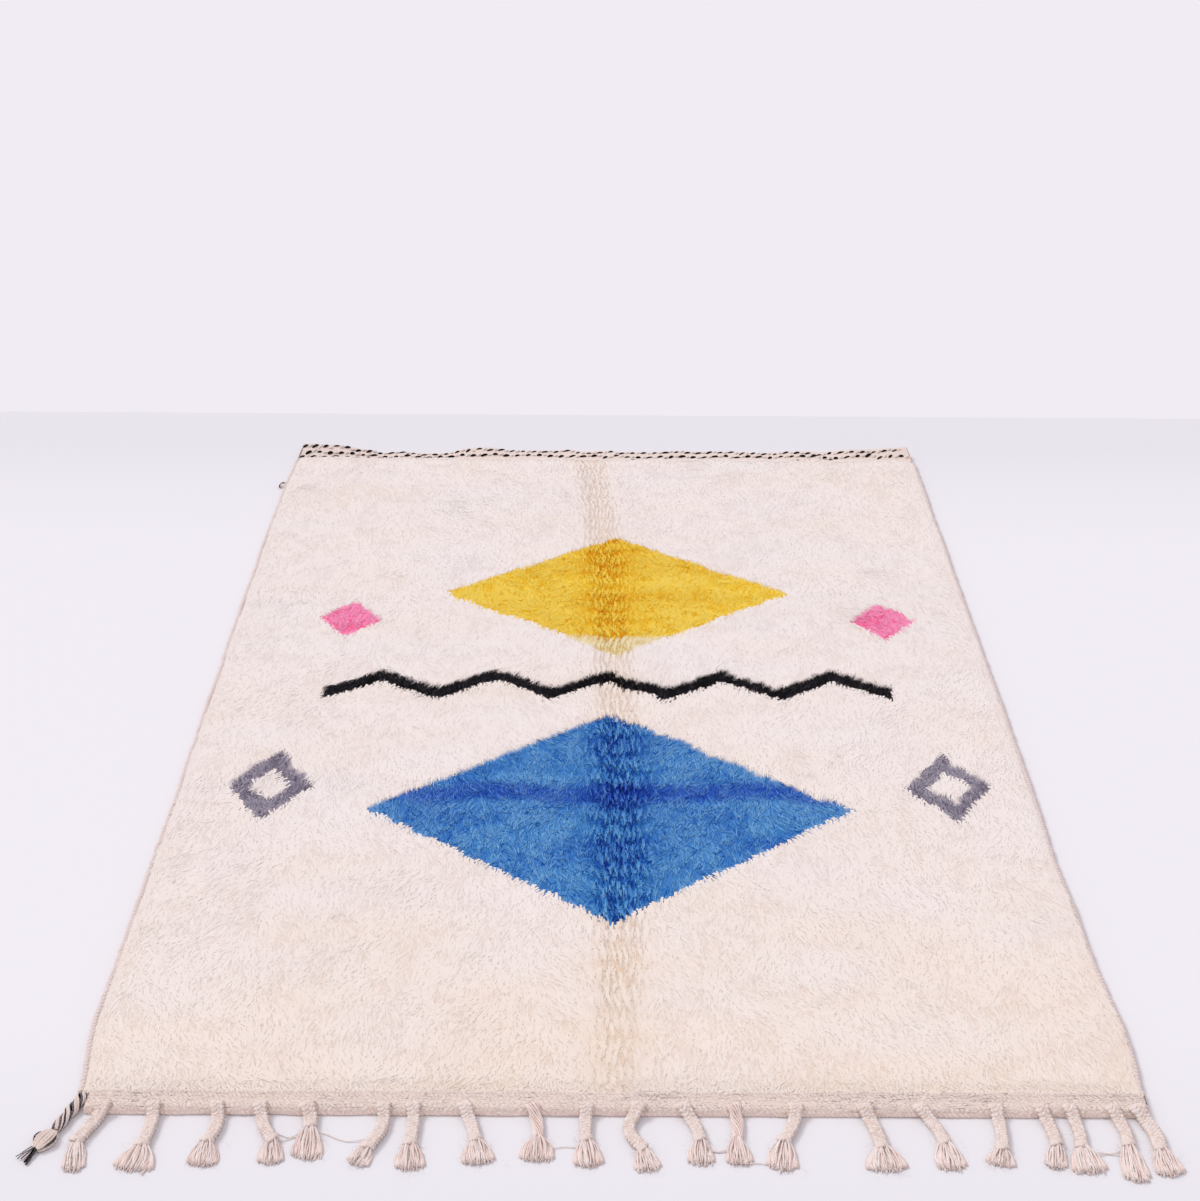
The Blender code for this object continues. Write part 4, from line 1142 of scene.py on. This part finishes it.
def headingGround():
    # the far heading's weave: a thin strip with fine ribs that waves along its free edge
    x = np.linspace(edgeX(-1, farEnd) - heading["pastLeft"], edgeX(1, farEnd) + heading["pastRight"],
                    heading["columns"])
    s = np.linspace(0.0, 1.0, heading["stations"])
    odd = (np.arange(len(x))[:, None] + np.arange(len(s))) % 2
    rib = np.where(odd == 0, 1.0, -1.0)
    rib[:, 0] = rib[:, -1] = 0.0
    top = headingPlace(x[:, None], s, heading["rib"] * rib)
    thin = np.clip(np.minimum(x - x[0], x[-1] - x) / heading["endTaper"], 0.15, 1.0)
    under = np.array((1.0, 0.66, 0.33, 0.0))
    bottom = headingPlace(x[:, None], under, -heading["thickness"] * thin[:, None])
    points = np.concatenate([top, bottom], axis=1)
    mesh = meshFromArrays("farHeading", points.reshape(-1, 3), tubeFaces(len(x), points.shape[1]))
    ply = np.concatenate([heading["ribShade"] * rib, np.zeros((len(x), len(under)))], axis=1)
    setAttribute(mesh, "dye", np.tile(linear(heading["wool"]), (ply.size, 1)))
    setAttribute(mesh, "ply", ply)
    wool = pliedWool("heading weave", 0.35, 0.0014)
    return addPiece("farHeading", mesh, wool, "far_heading")


def twinedStitches():
    # twined rows: ivory and black stitches take turns, and each row starts half a pitch from the one before
    random = np.random.default_rng(stitch["seed"])
    left, right = edgeX(-1, farEnd), edgeX(1, farEnd)
    reach = np.linspace(-1, 1, 6)
    bow = np.cos(reach * math.pi / 2)
    stitches = []
    for row, (s, bold) in enumerate(stitch["rows"]):
        for number in range(int((right - left) / stitch["pitch"] * 2)):
            x = left + stitch["inset"] + (number + row % 2) * stitch["pitch"] / 2
            flat, dark = x > stitch["curlsUntil"], number % 2 == 0
            # the lowest row dives under the pile where the heading lies flat
            shown = softNoise(x, 0.0, stitch["coveredSize"], 73) >= stitch["coveredBelow"]
            if x > right - stitch["inset"] or (row == 0 and flat and not shown):
                continue
            half = stitch["half"] * random.uniform(stitch["longLow"], stitch["longHigh"])
            half *= 1.0 if dark else stitch["ivoryShorter"]
            slant = reach * random.normal(stitch["slant"], stitch["slantSpread"])
            slant += random.normal(0, stitch["astray"])
            slant += stitch["sway"] * softNoise(x, 0.3 * row, stitch["swaySize"], 74) * flat
            path = headingPlace(x + reach * half, s + slant, stitch["height"] * (bow - stitch["sunk"]))
            radius = stitch["width"] * bold * (1.0 if x >= stitch["boldUntil"] else stitch["bolder"])
            thick = random.uniform(stitch["thickLow"], stitch["thickHigh"])
            radius *= thick * (stitch["endThick"] + (1.0 - stitch["endThick"]) * bow ** 0.5)
            colour = heading["black"] if dark else heading["wool"]
            stitches.append(yarnTube(path, radius, colour, flat=0.75, pitch=0.012, lobes=0.08))
    mesh, wool = joinYarns("twinedStitches", stitches), pliedWool("twined heading yarn", 0.3, 0.0012)
    return addPiece("twinedStitches", mesh, wool, "far_heading")


cord = {
    # how high the ribs stand and slant, and how the cord and its stitches wander: how much, size, seed
    "radius": 0.0062, "gap": -0.0024, "overFloor": 0.0002, "step": 0.00145, "sides": 7,
    "stitch": 0.0084, "slant": 0.35, "rib": 0.36, "wander": (0.0012, 0.011, 81), "drift": (0.3, 0.03, 82),
    "wool": "#E5D8D3"}


def selvedge(side, name, node, wool):
    # the side cord: warps bundled and overcast with yarn, so that slanting stitches ring it all along
    y = np.arange(-farEnd, farEnd, cord["step"])
    x = np.array([edgeX(side, station) for station in y]) + side * (cord["radius"] + cord["gap"])
    x += side * layeredNoise(y, y * 0, [cord["wander"]])
    path = np.stack([x, y, np.full(len(y), cord["radius"] + cord["overFloor"])], 1)
    angle = np.linspace(0.0, 2 * math.pi, cord["sides"], endpoint=False)[None]
    turns = y / cord["stitch"] + layeredNoise(y, y * 0, [cord["drift"]])
    rib = np.abs(np.sin(math.pi * (turns[:, None] + side * np.sin(angle) * cord["slant"]))) ** 0.6
    rings = tubeRings(path, cord["radius"] * (1.0 - cord["rib"] + cord["rib"] * rib), angle)
    mesh = meshFromArrays(name, rings.reshape(-1, 3), tubeFaces(len(y), cord["sides"]))
    setAttribute(mesh, "dye", np.tile(linear(cord["wool"]), (rib.size, 1)))
    # ply: painted shade between the overcast stitches, darkest where the rib is low
    setAttribute(mesh, "ply", rib * 2 - 1)
    return addPiece(name, mesh, wool, node)


corner = {
    # x, y, half width, half height along the cord
    "path": ((-0.8180, -1.2060, 0.0066, 0.0050), (-0.8215, -1.2160, 0.0105, 0.0066),
             (-0.8255, -1.2270, 0.0084, 0.0060), (-0.8300, -1.2400, 0.0108, 0.0070),
             (-0.8345, -1.2530, 0.0082, 0.0060), (-0.8400, -1.2670, 0.0098, 0.0066),
             (-0.8455, -1.2850, 0.0072, 0.0060)),
    "seed": 91, "turns": 1.15, "yarnRadius": 0.0018, "overFloor": 0.0004,
    "lay": ("blackWool", "greyWool", "ivory", "pinkish", "greyWool", "ivory", "smokeWool",
            "ivory", "ivory", "blackWool", "greyWool", "ivory", "pinkish", "ivory"),
    # how the black fades to grey: its mean, how it comes and goes, and how much more at the end
    "fade": 0.42, "fadeSwing": 0.9, "fadePace": 0.45, "fadeMore": 0.55,
    "bulgeStart": (-0.8455, -1.2850), "bulgeEnd": (-0.8650, -1.3230), "bulgeHalf": 0.0160,
    "bulgeYarns": 10, "bulgeRadius": 0.0017, "tiedHalf": 0.0050, "drawnIn": 0.0065,
    # how high its two layers of yarns lie, how much higher they bow up, and how they differ
    "bulgeHeight": 0.0034, "layerHeight": 0.0036, "bowUp": 0.0050, "layerIn": 0.15, "astray": 0.05,
    # thin arcs round the bulge: dye, how far out, radius
    "arcs": (("smokeWool", 0.0175, 0.0010), ("greyWool", 0.0152, 0.0009), ("smokeWool", -0.0156, 0.0012)),
    # the end's yarns: dye, how far aside it ends, its share of the length, its radius
    "tip": (-0.879, -1.348),
    "tipYarns": (("smokeWool", -0.0050, 1.0, 0.0021), ("blackWool", -0.0012, 0.94, 0.0019),
                 ("smokeWool", -0.0030, 0.80, 0.0020), ("ivory", 0.0030, 0.86, 0.0014),
                 ("greyWool", 0.0075, 0.80, 0.0011), ("greyWool", 0.0125, 0.92, 0.0009),
                 ("ivory", 0.0095, 0.66, 0.0011), ("greyWool", 0.0180, 0.84, 0.0008)),
    # a short end of yarn on the far part of the left side
    "loopPlace": (-0.8410, 1.0450), "loopWide": 0.0060, "loopLong": 0.0100, "loopRadius": 0.0019,
    "ivory": "#EDE3DC", "pinkish": "#E9D9D1",
    "blackWool": "#1D1A1F", "smokeWool": "#6A646A", "greyWool": "#8F888D"}


def twistedCord():
    # bundles of ivory and black yarn laid round each other: the black ones come round as slanting stripes
    path = smoothPath(corner["path"], 60)
    halfWidth, halfHeight = path[:, 2:].T
    ahead = unit(np.gradient(path[:, :2], axis=0))
    side = np.stack([ahead[:, 1], -ahead[:, 0]], 1)
    turn = np.linspace(0.0, corner["turns"] * 2 * math.pi, len(path))
    yarns = []
    for number, dye in enumerate(corner["lay"]):
        angle = turn + 2 * math.pi * number / len(corner["lay"])
        across = np.cos(angle) * (halfWidth - corner["yarnRadius"])
        z = halfHeight + corner["overFloor"] + np.sin(angle) * (halfHeight - corner["yarnRadius"])
        spots = np.column_stack([path[:, :2] + side * across[:, None], z])
        yarn = yarnTube(spots, corner["yarnRadius"], corner[dye], pitch=0.010)
        if dye == "blackWool":
            # the black comes and goes, as it is plied with grey
            swing = np.sin(corner["fadePace"] * np.arange(len(path)) + number)
            more = np.linspace(0.0, corner["fadeMore"], len(path))
            faded = np.clip(corner["fade"] + corner["fadeSwing"] * swing + more, 0.0, 1.0)
            faded = np.repeat(faded, len(yarn["dye"]) // len(path))[:, None]
            yarn["dye"] = yarn["dye"] * (1 - faded) + np.array(linear(corner["greyWool"])) * faded
        yarns.append(yarn)
    return yarns


def cornerBulge(random):
    # the cord opened below its twist: bowed loose yarns in two layers, drawn together again at their end
    start, end, each = corner["bulgeStart"], corner["bulgeEnd"], corner["bulgeYarns"]
    s = np.linspace(0.0, 1.0, 16)
    along, belly = s * math.dist(start, end), np.sin(math.pi * s)
    yarns = []
    for layer in (0, 1):
        for place in range(each):
            out = (place / (each - 1) * 2 - 1) * (1.0 - corner["layerIn"] * layer)
            out += random.normal(0.0, corner["astray"])
            across = out * (corner["tiedHalf"] + (corner["bulgeHalf"] - corner["drawnIn"]) * belly ** 0.8)
            bow = corner["bowUp"] * belly * (layer + 0.15) * math.sqrt(1 - 0.7 * out ** 2)
            z = corner["bulgeHeight"] + layer * corner["layerHeight"] + bow
            colour = corner[random.choice(("ivory", "ivory", "pinkish"))]
            path = overFloor(start, end, along, across, z)
            yarns.append(yarnTube(path, corner["bulgeRadius"], colour, pitch=0.010))
    for dye, out, radius in corner["arcs"]:
        path = overFloor(start, end, along, out * belly, 0.0060 + 0.0035 * belly)
        yarns.append(yarnTube(path, radius, corner[dye], sides=4))
    return yarns


def cornerTip():
    # the dark end: a black bundle on the right, thin grey and ivory wisps that fan out on the left
    start = np.array(corner["bulgeEnd"])
    end = 2 * start - corner["bulgeStart"]
    reach = math.dist(corner["tip"], start)
    t = np.linspace(-0.22, 1.0, 10)
    yarns = []
    for number, (dye, aside, share, radius) in enumerate(corner["tipYarns"]):
        across = aside * (0.35 + 0.65 * t) + 0.0010 * np.sin(5 * t + number)
        path = overFloor(start, end, t * reach * share, across, 0.0062 - 0.0040 * t + 0.0012 * (number % 2))
        yarns.append(yarnTube(path, radius * (1.0 - 0.3 * np.clip(t, 0, 1) ** 4), corner[dye]))
    return yarns


def edgeLoop():
    # a short black and white end of yarn that stands out of the left edge in a small loop
    turn = np.linspace(-0.6, 1.55 * math.pi, 20)
    path = np.column_stack([corner["loopPlace"][0] - corner["loopWide"] * np.cos(turn),
                            corner["loopPlace"][1] + corner["loopLong"] * np.sin(turn),
                            0.0035 + 0.0060 * np.clip(np.sin(turn * 0.6), 0, 1)])
    return [yarnTube(path[:12], corner["loopRadius"], corner["blackWool"], pitch=0.009),
            yarnTube(path + (0.0030, 0.0016, 0.0012), corner["loopRadius"], corner["ivory"], pitch=0.009)]


def cornerCord():
    yarns = twistedCord() + cornerBulge(np.random.default_rng(corner["seed"])) + cornerTip() + edgeLoop()
    wool = pliedWool("black and ivory cord yarn", 0.9, 0.0011)
    return addPiece("cornerCord", joinYarns("cornerCord", yarns), wool, "corner_tassel")


addCamera()
addSky()
addFloor()
addKeyLight()
print("camera and room are set")
ground, tufts = buildPile()

nearStrip, tassels = buildFringe()
farStrip, stitches = headingGround(), twinedStitches()
overcast = pliedWool("overcast yarn", 0.8, 0.0012)
selvedge(-1, "selvedgeLeft", "selvedge_left", overcast)
selvedge(1, "selvedgeRight", "selvedge_right", overcast)
cornerCord()
print("heading, selvedges and corner cord are made")

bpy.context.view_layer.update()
for piece in bpy.context.scene.objects:
    if piece.type == "MESH":
        print(piece.name, sum(len(face.vertices) - 2 for face in piece.data.polygons), "triangles")
